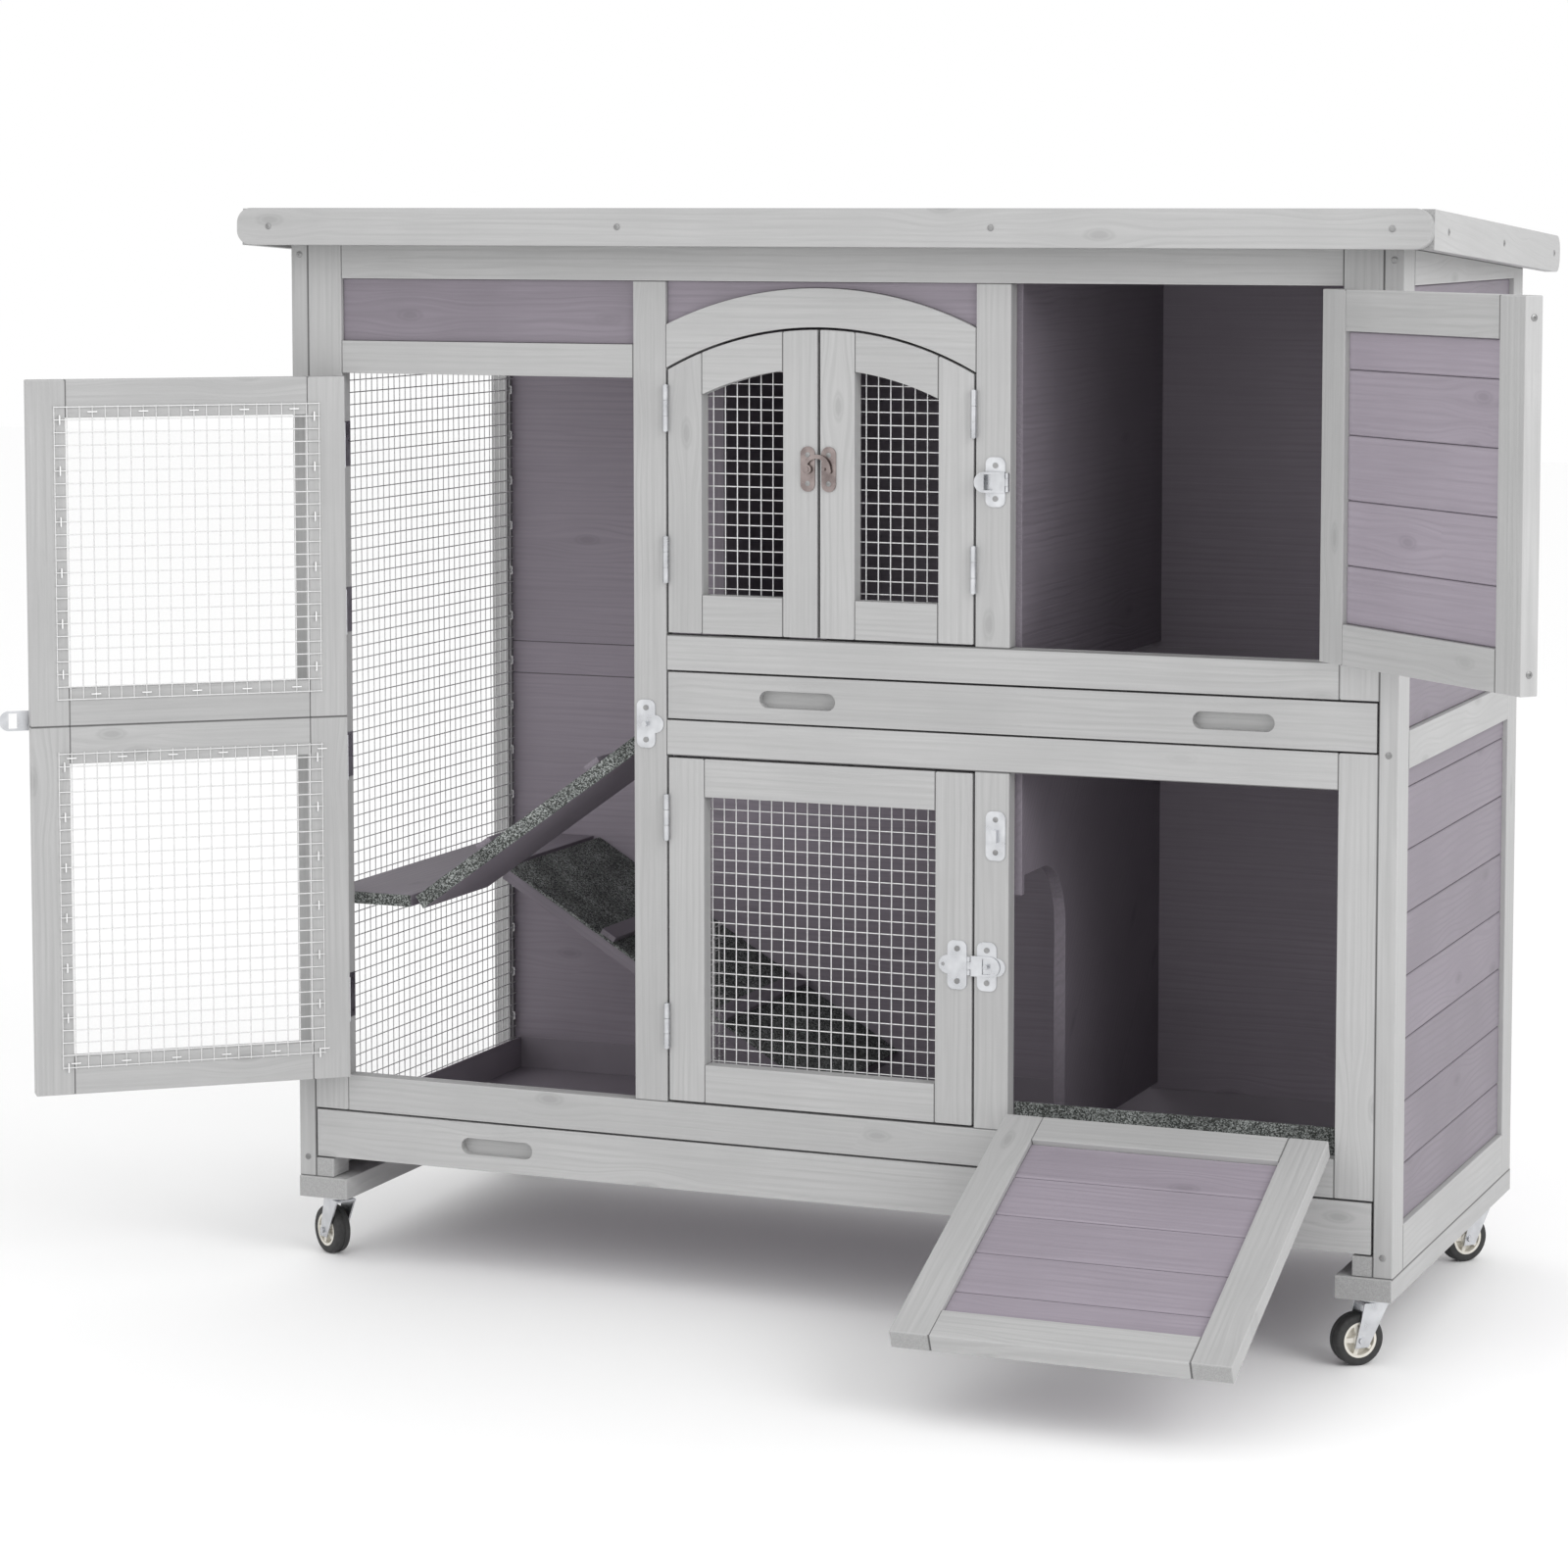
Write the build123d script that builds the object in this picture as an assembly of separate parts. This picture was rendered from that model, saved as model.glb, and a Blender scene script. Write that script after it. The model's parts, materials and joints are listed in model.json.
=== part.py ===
"""Two-storey rabbit hutch on casters: painted softwood frame, welded-mesh doors, ramps, pull-out trays."""

from build123d import *
from math import atan2, cos, degrees, hypot, radians, sin, sqrt, tan
import os

os.makedirs("parts", exist_ok=True)

# ---------------------------------------------------------------- driving sizes (mm, degrees)
bay_width = 325.0  # clear width of each of the three bays
post_width = 19.0  # outer corner posts, seen from the front
stile_width = 38.0  # front stiles beside the corner posts
mid_post_width = 35.0  # posts between the bays
side_post_depth = 40.0  # corner posts, seen from the side
depth = 500.0  # front face to back face
timber = 18.0  # thickness of the frame timber
door_gap = 2.4  # clearance round every inset door
door_member = 38.0  # width of a door's stiles and rails

caster_height = 68.0
plank_thickness = 22.0
plank_width = 55.0
lower_tray_height = 49.0
sill_height = 37.0
lower_opening = 350.0  # height of the lower doorways
rail_height = 35.0  # rails above and below the upper tray
tray_slot_height = 50.0  # slot between those rails
upper_opening = 350.0  # height of the upper doorways
header_height = 63.0  # boarded panel above the left door
header_rail_height = 33.0
top_rail_height = 36.0
foot_block_height = 22.0
foot_block_width = 20.0
foot_block_gap = 6.0  # between a foot block and the runner behind it

roof_pitch = 3.0
roof_overhang_side = 36.0
roof_overhang_front = 48.0
roof_overhang_back = 8.0
roof_batten = 20.0
roof_deck_thickness = 9.0
roof_felt_thickness = 2.5
fascia_height = 37.0
fascia_thickness = 12.0
fascia_end_radius = 15.0

board_thickness = 10.0
board_pitch = 60.0
board_first = 54.0  # the lowest board of a panel is cut down to this
board_least = 12.0  # no board is cut narrower than this
board_chamfer = 1.6
door_board_recess = 3.0  # how far a door's boards sit behind its outer face
panel_recess = 5.0  # how far the boards sit behind the frame's outer face
partition_thickness = 12.0
partition_bottom_gap = 6.0
runner = 15.0

mesh_pitch = 12.7
wire = 1.1
mesh_overlap = 12.0  # how far the mesh laps over a door frame

left_door_open = 140.0
right_door_open = 137.5
ramp_door_open = 113.0
left_door_lower_part = 373.0  # height of the lower of the left door's two mesh frames

left_hinge_drops = (70.0, 240.0)  # hinges of the left door, down from its top
left_hinge_rises = (80.0, 330.0)  # and up from its foot
arch_hinge_rises = (75.0, 225.0)
door_hinge_inset = 62.0
lower_hinge_rise = 78.0
left_hasp_rise = 5.0  # above the seam between the two mesh frames
lower_hasp_rise = 160.0
right_hasp_rise = 160.0
ramp_hasp_drop = 62.0

hinge_height = 46.0
knuckle_radius = 3.0
pin_radius = 1.2
bore_clearance = 0.08
leaf_thickness = 0.9
leaf_depth = 16.0
knuckle_gap = 0.3
axis_in_front = 3.2  # hinge pins stand this far in front of the frame's face

plate_thickness = 1.2
plate_width = 20.0
plate_height = 48.0
plate_screw_inset = 8.0
plate_screw_radius = 2.8
plate_screw_head = 0.6
pull_tab_radius = 9.0
pull_hole_radius = 1.8
hasp_pin_radius = 0.8
hasp_knuckle_radius = 2.0
hasp_knuckle_half = 3.7
hasp_knuckle_height = 5.0
hasp_axis_inset = 3.8  # the flap's pin, back from the middle of the gap
hasp_base_inset = 6.0  # the base plate's near edge, back from the middle of the gap
catch_inset = 4.5  # the catch plate's near edge, on from the middle of the gap
flap_length = 32.0
flap_height = 20.0
flap_lift = 0.5  # between the catch plate and the shut flap
flap_slot_width = 8.4
flap_slot_height = 15.2
stud_radius = 2.6
loop_width = 5.0
loop_height = 12.4
staple_length = 5.0
post_flap_open = 165.0
ramp_flap_hang = 90.0

ramp_board = 12.0
felt = 3.0
platform_height = 390.0  # top of the landing above the floor
platform_width = 97.0
platform_gap = 0.5  # between the landing and the side mesh
mesh_clearance = 2.0  # between the shut doors' mesh and anything inside
ramp_width = 150.0
ramp_joint = 8.0  # along the floor, between the landing and a ramp's board
ramp_step = 3.0  # a ramp starts this far below the landing's top
ramp_end_gap = 12.0
ramp_top_drop = 6.0
ramp_wall_gap = 4.0
lower_ramp_width = 234.0
lower_ramp_slope = 31.0
cleat_width = 18.0
cleat_height = 6.0
cleat_pitch = 150.0
divider_height = 345.0  # top of the mesh that closes the space under the upper ramp
divider_inset = 6.0

pan_sheet = 2.0
pan_rim = 37.0
pan_bottom = 3.0  # the pan's underside above the foot of the tray front
pan_side_gap = 6.0
tray_play = 2.0
slide_clearance = 0.3
finger_slot_length = 80.0
finger_slot_height = 17.0
finger_slot_depth = 10.0

wheel_radius = 25.0
wheel_width = 17.0
hub_radius = 17.0
axle_radius = 3.0
caster_offset = 16.0
caster_plate = 44.0
caster_plate_thickness = 2.0
caster_plate_corner = 5.0
fork_sheet = 2.0
fork_gap = 1.2  # between the wheel's face and the fork's leg
fork_foot = 7.0  # the fork's leg round the axle, each way
axle_end = 2.0
swivel_clearance = 0.3

screw_radius = 3.3
screw_head = 0.8

# ---------------------------------------------------------------- places worked out from them
x_left_stile = post_width
x_bay1 = x_left_stile + stile_width
x_post1 = x_bay1 + bay_width
x_bay2 = x_post1 + mid_post_width
x_post2 = x_bay2 + bay_width
x_bay3 = x_post2 + mid_post_width
x_right_stile = x_bay3 + bay_width
x_right_post = x_right_stile + stile_width
width = x_right_post + post_width

z_frame = caster_height + plank_thickness
z_tray = z_frame + foot_block_height
z_sill = z_tray + lower_tray_height + tray_play
z_lower = z_sill + sill_height
z_lower_top = z_lower + lower_opening
z_slot = z_lower_top + rail_height
z_slot_top = z_slot + tray_slot_height
z_upper = z_slot_top + rail_height
z_upper_top = z_upper + upper_opening
z_header = z_upper_top - header_height
z_left_top = z_header - header_rail_height
z_wall_top = z_upper_top + top_rail_height
side_rail_drop = 17.0
side_rail_height = 36.0
bottom_rail_height = 44.0
z_side_rail = z_slot - side_rail_drop
y_back_frame = depth - timber
y_back = y_back_frame - board_thickness
roof_slope = radians(roof_pitch)

parts = {}


def add(name, *solids):
    """Puts solids into the node with that name."""
    parts.setdefault(name, []).extend(solids)


def block(x0, x1, y0, y1, z0, z1):
    """A squared timber or plate between two corners."""
    return Pos((x0 + x1) / 2, (y0 + y1) / 2, (z0 + z1) / 2) * Box(abs(x1 - x0), abs(y1 - y0), abs(z1 - z0))


def prism_x(points, x0, x1):
    """An outline in (y, z) drawn out from x0 to x1."""
    face = make_face(Polyline(*[(x0, y, z) for y, z in points], close=True))
    return extrude(face, amount=x1 - x0, dir=(1, 0, 0))


def prism_y(points, y0, y1):
    """An outline in (x, z) drawn out from y0 to y1."""
    face = make_face(Polyline(*[(x, y0, z) for x, z in points], close=True))
    return extrude(face, amount=y1 - y0, dir=(0, 1, 0))


def rod(point, axis, radius, length):
    """A round bar centred on a point."""
    return Plane(origin=point, z_dir=axis) * Cylinder(radius, length)


def roof_z(y):
    """Height of the walls' sloping top edge at a distance back from the front."""
    return z_wall_top - y * tan(roof_slope)


def sloped_post(x0, x1, y0, y1, z0):
    """An upright cut off at the slope of the roof."""
    return prism_x([(y0, z0), (y1, z0), (y1, roof_z(y1)), (y0, roof_z(y0))], x0, x1)


# ---------------------------------------------------------------- front frame
add("front_posts", sloped_post(x_left_stile, x_bay1, 0, timber, z_sill))
add("front_posts", sloped_post(x_right_stile, x_right_post, 0, timber, z_slot_top))
add("front_posts", block(x_right_stile, x_right_post, 0, timber, z_sill, z_slot))
add("front_posts", block(x_post1, x_bay2, 0, timber, z_lower, z_upper_top))
add("front_posts", block(x_post2, x_bay3, 0, timber, z_lower, z_lower_top))
add("front_posts", block(x_post2, x_bay3, 0, timber, z_upper, z_upper_top))

add("front_rails", block(x_bay1, x_right_stile, 0, timber, z_sill, z_lower))
add("front_rails", block(x_bay2, x_right_stile, 0, timber, z_lower_top, z_slot))
add("front_rails", block(x_bay2, x_right_stile, 0, timber, z_slot_top, z_upper))
add("front_rails", block(x_bay1, x_post1, 0, timber, z_left_top, z_header))
add("front_rails", sloped_post(x_bay1, x_right_stile, 0, timber, z_upper_top))

# The arched head over the double doors, and the boarded panels behind and beside it.
arch_drop = 37.0  # how far the arch falls from its crown to the posts
arch_crown_gap = 6.0
arch_band = 38.0
arch_middle = (x_bay2 + x_post2) / 2
arch_half = bay_width / 2
arch_radius = (arch_half**2 + arch_drop**2) / (2 * arch_drop)
arch_crown = z_upper_top - arch_crown_gap
arch_centre_z = arch_crown - arch_radius
door_arch_radius = arch_radius - arch_band


def arch_disc(radius, y0, y1):
    """A disc about the arch's centre, used to cut every piece that follows the arch."""
    return rod((arch_middle, (y0 + y1) / 2, arch_centre_z), (0, 1, 0), radius, y1 - y0)


def arch_height(radius, x):
    """Height of the arch of that radius at a place across the bay."""
    return arch_centre_z + sqrt(radius**2 - (x - arch_middle) ** 2)


arch_blank = block(x_bay2, x_post2, 0, timber, z_upper, z_upper_top)
arch_head = (arch_blank & arch_disc(arch_radius, 0, timber)) - arch_disc(door_arch_radius, -1, timber + 1)
add("arch_header", arch_head)
spandrel_blank = block(x_bay2, x_post2, panel_recess, timber, z_left_top, z_upper_top)
spandrels = (spandrel_blank - arch_disc(arch_radius, 0, timber + 1)).solids()
add("front_panels", block(x_bay1, x_post1, panel_recess, panel_recess + board_thickness, z_header,
                          z_upper_top))
add("front_panels", *spandrels)

# ---------------------------------------------------------------- side frames, right boards and left mesh
for x0 in (0, x_right_post):
    x1 = x0 + post_width
    add("side_frames", sloped_post(x0, x1, 0, side_post_depth, z_frame))
    add("side_frames", sloped_post(x0, x1, depth - side_post_depth, depth, z_frame))
    y0 = side_post_depth
    y1 = depth - side_post_depth
    add("side_frames", sloped_post(x0, x1, y0, y1, z_upper_top))
    add("side_frames", block(x0, x1, y0, y1, z_frame, z_frame + bottom_rail_height))
add("side_frames", block(x_right_post, width, side_post_depth, depth - side_post_depth, z_side_rail,
                         z_side_rail + side_rail_height))


def board_edges(z0, z1):
    """Heights at which a boarded panel is split; its lowest and its topmost board are cut to fit."""
    edges = [z0]
    z = z0 + board_first
    while z < z1 - board_least:
        edges.append(z)
        z += board_pitch
    return edges + [z1]


def boards_facing_x(x_outer, y0, y1, z0, z1):
    """Level boards whose bevelled face looks along +X."""
    x_inner = x_outer - board_thickness
    x_bevel = x_outer - board_chamfer
    edges = board_edges(z0, z1)
    made = []
    for low, high in zip(edges, edges[1:]):
        outline = [(x_inner, low), (x_bevel, low), (x_outer, low + board_chamfer),
                   (x_outer, high - board_chamfer), (x_bevel, high), (x_inner, high)]
        made.append(prism_y(outline, y0, y1))
    return made


def door_boards(x0, x1, z0, z1):
    """Level boards let into a door's frame, bevelled on both faces."""
    y0 = door_board_recess
    y1 = y0 + board_thickness
    edges = board_edges(z0, z1)
    made = []
    for low, high in zip(edges, edges[1:]):
        outline = [(y0, low + board_chamfer), (y0 + board_chamfer, low), (y1 - board_chamfer, low),
                   (y1, low + board_chamfer), (y1, high - board_chamfer), (y1 - board_chamfer, high),
                   (y0 + board_chamfer, high), (y0, high - board_chamfer)]
        made.append(prism_x(outline, x0, x1))
    return made


def grooved_sheet(z0, z1):
    """A sheet that lines the back wall: smooth inside, with V-grooves at the board pitch outside."""
    sheet = block(x_left_stile, x_right_post, y_back, y_back_frame, z0, z1)
    for z in board_edges(z0, z1)[1:-1]:
        groove = [(y_back_frame - board_chamfer, z),
                  (y_back_frame + board_chamfer, z + 2 * board_chamfer),
                  (y_back_frame + board_chamfer, z - 2 * board_chamfer)]
        sheet -= prism_x(groove, x_left_stile, x_right_post)
    return sheet


side_y0 = side_post_depth
side_y1 = depth - side_post_depth
side_board_x = width - panel_recess
add("side_boards", *boards_facing_x(side_board_x, side_y0, side_y1, z_frame + bottom_rail_height,
                                    z_side_rail))
add("side_boards", *boards_facing_x(side_board_x, side_y0, side_y1, z_side_rail + side_rail_height,
                                    z_upper_top))


def mesh_places(low, high):
    """Wire centres at the mesh pitch, centred between two edges."""
    count = int((high - low) / mesh_pitch)
    first = (low + high - count * mesh_pitch) / 2
    return [first + i * mesh_pitch for i in range(count + 1)]


half_wire = wire / 2
mesh_x = post_width
mesh_y0 = side_y0 - mesh_overlap
mesh_y1 = y_back
mesh_z0 = z_frame + bottom_rail_height - mesh_overlap
mesh_z1 = roof_z(mesh_y1) - wire
for y in mesh_places(mesh_y0, mesh_y1):
    add("side_mesh", block(mesh_x, mesh_x + wire, y - half_wire, y + half_wire, mesh_z0, mesh_z1))
for z in mesh_places(mesh_z0, mesh_z1):
    add("side_mesh", block(mesh_x + wire, mesh_x + 2 * wire, mesh_y0, mesh_y1, z - half_wire, z + half_wire))

# ---------------------------------------------------------------- back wall
for x0, x1 in ((x_left_stile, x_bay1), (x_right_stile, x_right_post)):
    add("back_frame", sloped_post(x0, x1, y_back_frame, depth, z_frame))
back_rails = [(z_frame, z_frame + bottom_rail_height), (z_side_rail, z_side_rail + side_rail_height)]
for z0, z1 in back_rails:
    add("back_frame", block(x_bay1, x_right_stile, y_back_frame, depth, z0, z1))
add("back_frame", sloped_post(x_bay1, x_right_stile, y_back_frame, depth, z_upper_top))
add("back_boards", grooved_sheet(z_frame, z_side_rail))
add("back_boards", block(x_left_stile, x_right_post, y_back, y_back_frame, *back_rails[1]))
add("back_boards", grooved_sheet(z_side_rail + side_rail_height, roof_z(y_back_frame)))

# ---------------------------------------------------------------- trays
def tray(name, x0, x1, z0, z1, slots):
    """A tray: a timber front with routed finger slots, and a folded metal pan behind it."""
    front = block(x0, x1, 0, timber, z0, z1)
    end_radius = finger_slot_height / 2
    half_straight = finger_slot_length / 2 - end_radius
    middle = (z0 + z1) / 2
    for x in slots:
        front -= block(x - half_straight, x + half_straight, 0, finger_slot_depth,
                       middle - end_radius, middle + end_radius)
        for end in (x - half_straight, x + half_straight):
            front -= rod((end, finger_slot_depth / 2, middle), (0, 1, 0), end_radius, finger_slot_depth)
    add(name + "_front", front)
    px0 = x0 + pan_side_gap
    px1 = x1 - pan_side_gap
    py1 = y_back - tray_play
    pz = z0 + pan_bottom
    rim_top = pz + pan_rim
    add(name + "_pan", block(px0, px1, timber, py1, pz, pz + pan_sheet))
    add(name + "_pan", block(px0, px0 + pan_sheet, timber, py1, pz + pan_sheet, rim_top))
    add(name + "_pan", block(px1 - pan_sheet, px1, timber, py1, pz + pan_sheet, rim_top))
    add(name + "_pan", block(px0 + pan_sheet, px1 - pan_sheet, py1 - pan_sheet, py1, pz + pan_sheet, rim_top))
    return pz, rim_top


slot_inset = 140.0
upper_slots = (x_bay2 + slot_inset, x_right_post - slot_inset)
lower_slot_inset = 208.0
lower_slots = (x_left_stile + lower_slot_inset, x_right_post - lower_slot_inset)
upper_pan, upper_rim = tray("upper_tray", x_bay2 + tray_play, x_right_post - tray_play,
                            z_slot + tray_play, z_slot_top - tray_play, upper_slots)
lower_pan, lower_rim = tray("lower_tray", x_left_stile + tray_play, x_right_post - tray_play,
                            z_tray, z_tray + lower_tray_height, lower_slots)

# Runners: the pans slide on them, a hair above.
for x0 in (x_bay2, x_right_post - runner):
    top = upper_pan - slide_clearance
    add("tray_runners", block(x0, x0 + runner, timber, y_back, top - runner, top))
lower_top = lower_pan - slide_clearance
for x0 in (post_width, x_right_post - runner):
    add("tray_runners", block(x0, x0 + runner, side_post_depth, y_back, lower_top - runner, lower_top))

# ---------------------------------------------------------------- partitions
partition_lap = 6.0  # how far the partition stands behind the post
seal_gap = 0.5  # between the shut ramp door and the felt seal behind it
partition_x0 = x_bay3 - partition_lap
partition_x1 = partition_x0 + partition_thickness
partition_y0 = timber + seal_gap + felt
upper_bottom = upper_rim + partition_bottom_gap
lower_bottom = lower_rim + partition_bottom_gap
lower_top_z = upper_pan - slide_clearance
upper_outline = [(timber, upper_bottom), (y_back, upper_bottom), (y_back, roof_z(y_back)),
                 (timber, roof_z(timber))]
add("partitions", prism_x(upper_outline, partition_x0, partition_x1))

# The lower partition's doorway is open at the front and rounded at its back corner.
doorway_depth = 156.0
doorway_radius = 70.0
doorway_top = 447.0
lip_drop = 19.0  # the partition's front edge hangs this far into the doorway
lip_depth = 8.0
doorway_spring = doorway_top - doorway_radius
round_y = doorway_depth - doorway_radius
lower_panel = block(partition_x0, partition_x1, partition_y0, y_back, lower_bottom, lower_top_z)
doorway = block(partition_x0, partition_x1, 0, doorway_depth, 0, doorway_spring)
doorway += rod(((partition_x0 + partition_x1) / 2, round_y, doorway_spring), (1, 0, 0), doorway_radius,
               partition_thickness)
doorway += block(partition_x0, partition_x1, 0, round_y, 0, doorway_top)
lip = block(partition_x0, partition_x1, partition_y0, partition_y0 + lip_depth, doorway_top - lip_drop,
            doorway_top)
add("partitions", *((lower_panel - doorway) + lip).solids())

# Between the ramp bay and the middle bay, with the ramp's doorway in front of it.
ramp_y0 = timber + 2 * wire + mesh_clearance
ramp_y1 = ramp_y0 + ramp_width
ramp_partition_y0 = ramp_y1 + tray_play
ramp_partition_x = x_post1 + (mid_post_width - partition_thickness) / 2
ramp_outline = [(ramp_partition_y0, upper_bottom), (y_back, upper_bottom), (y_back, roof_z(y_back)),
                (ramp_partition_y0, roof_z(ramp_partition_y0))]
add("partitions", prism_x(ramp_outline, ramp_partition_x, ramp_partition_x + partition_thickness))

# ---------------------------------------------------------------- landing, ramps, cleats and felt
platform_x0 = post_width + 2 * wire + platform_gap
platform_x1 = platform_x0 + platform_width
platform_y0 = ramp_y0 + felt
platform_z = platform_height - felt
platform_foot = platform_z - ramp_board
add("landing_platform", block(platform_x0, platform_x1, platform_y0, y_back, platform_foot, platform_z))
add("felt_mats", block(platform_x0, platform_x1, ramp_y0, platform_y0, platform_foot, platform_z))


def ramp(name, x0, z0, x1, z1, y0, y1):
    """A sloping board with felt and cleats on it, between two points of its top; returns its place."""
    length = hypot(x1 - x0, z1 - z0)
    slope = degrees(atan2(z1 - z0, x1 - x0))
    place = Pos(x0, 0, z0) * Rot(0, -slope, 0)
    add(name, place * block(0, length, y0, y1, -ramp_board, 0))
    add("felt_mats", place * block(0, length, y0, y1, 0, felt))
    count = int((length - cleat_width) / cleat_pitch)
    first = (length - (count - 1) * cleat_pitch) / 2 if count > 1 else length / 2
    for i in range(count):
        centre = first + i * cleat_pitch
        add("ramp_cleats", place * block(centre - cleat_width / 2, centre + cleat_width / 2, y0, y1,
                                         felt, felt + cleat_height))
    return place, length


ramp_x0 = platform_x1 + ramp_joint
ramp_z0 = platform_z - ramp_step
upper_place, upper_length = ramp("upper_ramp", ramp_x0, ramp_z0, x_bay2 - ramp_end_gap,
                                 upper_pan - ramp_top_drop, ramp_y0 + felt, ramp_y1)
lower_ramp_y1 = y_back - ramp_wall_gap
lower_ramp_y0 = lower_ramp_y1 - lower_ramp_width
lower_ramp_z1 = lower_rim + ramp_board + ramp_wall_gap
lower_ramp_x1 = ramp_x0 + (ramp_z0 - lower_ramp_z1) / tan(radians(lower_ramp_slope))
ramp("lower_ramp", ramp_x0, ramp_z0, lower_ramp_x1, lower_ramp_z1, lower_ramp_y0, lower_ramp_y1)

# Felt also wraps the upper ramp's front edge, and seals the sill behind the ramp door.
add("felt_mats", upper_place * block(0, upper_length, ramp_y0, ramp_y0 + felt, -ramp_board, felt))
seal_foot = z_sill + 8.0
seal_top = z_lower + 26.0
seal_step = z_lower - 2.0
seal = [(timber, seal_foot), (partition_y0, seal_foot), (partition_y0, seal_top),
        (timber + seal_gap, seal_top), (timber + seal_gap, seal_step), (timber, seal_step)]
add("felt_mats", prism_x(seal, x_bay3, x_right_stile))

# Mesh under the upper ramp, from the front post to the lower ramp.
divider_x = x_post1 - divider_inset
divider_z0 = lower_rim + partition_bottom_gap
for y in mesh_places(timber + wire, lower_ramp_y0 - wire):
    add("side_mesh", block(divider_x, divider_x + wire, y - half_wire, y + half_wire, divider_z0,
                           divider_height))
for z in mesh_places(divider_z0, divider_height):
    add("side_mesh", block(divider_x + wire, divider_x + 2 * wire, timber, lower_ramp_y0,
                           z - half_wire, z + half_wire))

# ---------------------------------------------------------------- roof, built level and then pitched
roof_place = Pos(0, 0, z_wall_top) * Rot(-roof_pitch, 0, 0)
roof_run = depth / cos(roof_slope)
inner_x0 = -roof_overhang_side + fascia_thickness
inner_x1 = width + roof_overhang_side - fascia_thickness
inner_y0 = -roof_overhang_front + fascia_thickness
inner_y1 = roof_run + roof_overhang_back - fascia_thickness
batten_width = 32.0
batten_count = 4
fascia_rise = 1.5  # the trim stands this far above the felt
deck_top = roof_batten + roof_deck_thickness
fascia_top = deck_top + roof_felt_thickness + fascia_rise
fascia_foot = fascia_top - fascia_height
add("roof_battens", roof_place * block(inner_x0, inner_x1, inner_y0, inner_y0 + batten_width, 0, roof_batten))
add("roof_battens", roof_place * block(inner_x0, inner_x1, inner_y1 - batten_width, inner_y1, 0, roof_batten))
for i in range(batten_count):
    x0 = inner_x0 + (inner_x1 - inner_x0 - batten_width) * i / (batten_count - 1)
    add("roof_battens", roof_place * block(x0, x0 + batten_width, inner_y0 + batten_width,
                                           inner_y1 - batten_width, 0, roof_batten))
add("roof_deck", roof_place * block(inner_x0, inner_x1, inner_y0, inner_y1, roof_batten, deck_top))
add("roof_felt", roof_place * block(inner_x0, inner_x1, inner_y0, inner_y1, deck_top,
                                    deck_top + roof_felt_thickness))


def rounded_trim(x0, x1, y0, y1, axis, pick):
    """A trim board; the picked edges along an axis are rounded over."""
    blank = block(x0, x1, y0, y1, fascia_foot, fascia_top)
    return roof_place * fillet(pick(blank.edges().filter_by(axis)), fascia_end_radius)


roof_x0 = -roof_overhang_side
roof_x1 = width + roof_overhang_side
roof_y1 = roof_run + roof_overhang_back
add("roof_trims", rounded_trim(roof_x0, roof_x1, -roof_overhang_front, inner_y0, Axis.Y,
                               lambda edges: edges))
add("roof_trims", roof_place * block(inner_x0, inner_x1, inner_y1, roof_y1, 0, fascia_top))
for x0, x1 in ((roof_x0, inner_x0), (inner_x1, roof_x1)):
    add("roof_trims", rounded_trim(x0, x1, inner_y0, roof_y1, Axis.X,
                                   lambda edges: edges.sort_by(Axis.Y)[-2:]))

# ---------------------------------------------------------------- hinges
third = (hinge_height - 2 * knuckle_gap) / 3
bore_radius = pin_radius + bore_clearance
pin_length = hinge_height + 1.0


def hinge_half(place, side, knuckles):
    """One leaf of a butt hinge about its local Z axis: side -1 is the post's leaf, +1 is the door's."""
    x_far = side * door_gap / 2
    x_near = side * (door_gap / 2 - leaf_thickness)
    half = hinge_height / 2
    leaf = block(x_near, x_far, axis_in_front, axis_in_front + leaf_depth, -half, half)
    for z0, z1 in knuckles:
        leaf += block(x_near, x_far, 0, axis_in_front, z0, z1)
        leaf += rod((0, 0, (z0 + z1) / 2), (0, 0, 1), knuckle_radius, z1 - z0)
        leaf -= rod((0, 0, (z0 + z1) / 2), (0, 0, 1), bore_radius, z1 - z0)
    return place * leaf


outer_knuckles = [(-hinge_height / 2, third - hinge_height / 2), (hinge_height / 2 - third, hinge_height / 2)]
middle_knuckle = [(-third / 2, third / 2)]


def hinge(place, door_side=1):
    """The post's leaf with its pin goes to the frame; the door's leaf is returned."""
    add("post_hinges", hinge_half(place, -door_side, outer_knuckles))
    add("post_hinges", place * Cylinder(pin_radius, pin_length))
    return hinge_half(place, door_side, middle_knuckle)


# ---------------------------------------------------------------- hasps
def hasp_plate(x0, x1, z, tab_x=None):
    """A rounded steel plate on the front face with two screw heads, and a half-round tab if it has one."""
    plate = block(x0, x1, -plate_thickness, 0, z - plate_height / 2, z + plate_height / 2)
    plate = fillet(plate.edges().filter_by(Axis.Y), (x1 - x0) / 3)
    if tab_x is not None:
        plate += rod((tab_x, -plate_thickness / 2, z), (0, 1, 0), pull_tab_radius, plate_thickness)
    screw_rise = plate_height / 2 - plate_screw_inset
    screw_y = -plate_thickness - plate_screw_head / 2
    heads = [rod(((x0 + x1) / 2, screw_y, z + rise), (0, 1, 0), plate_screw_radius, plate_screw_head)
             for rise in (-screw_rise, screw_rise)]
    return plate, heads


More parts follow.
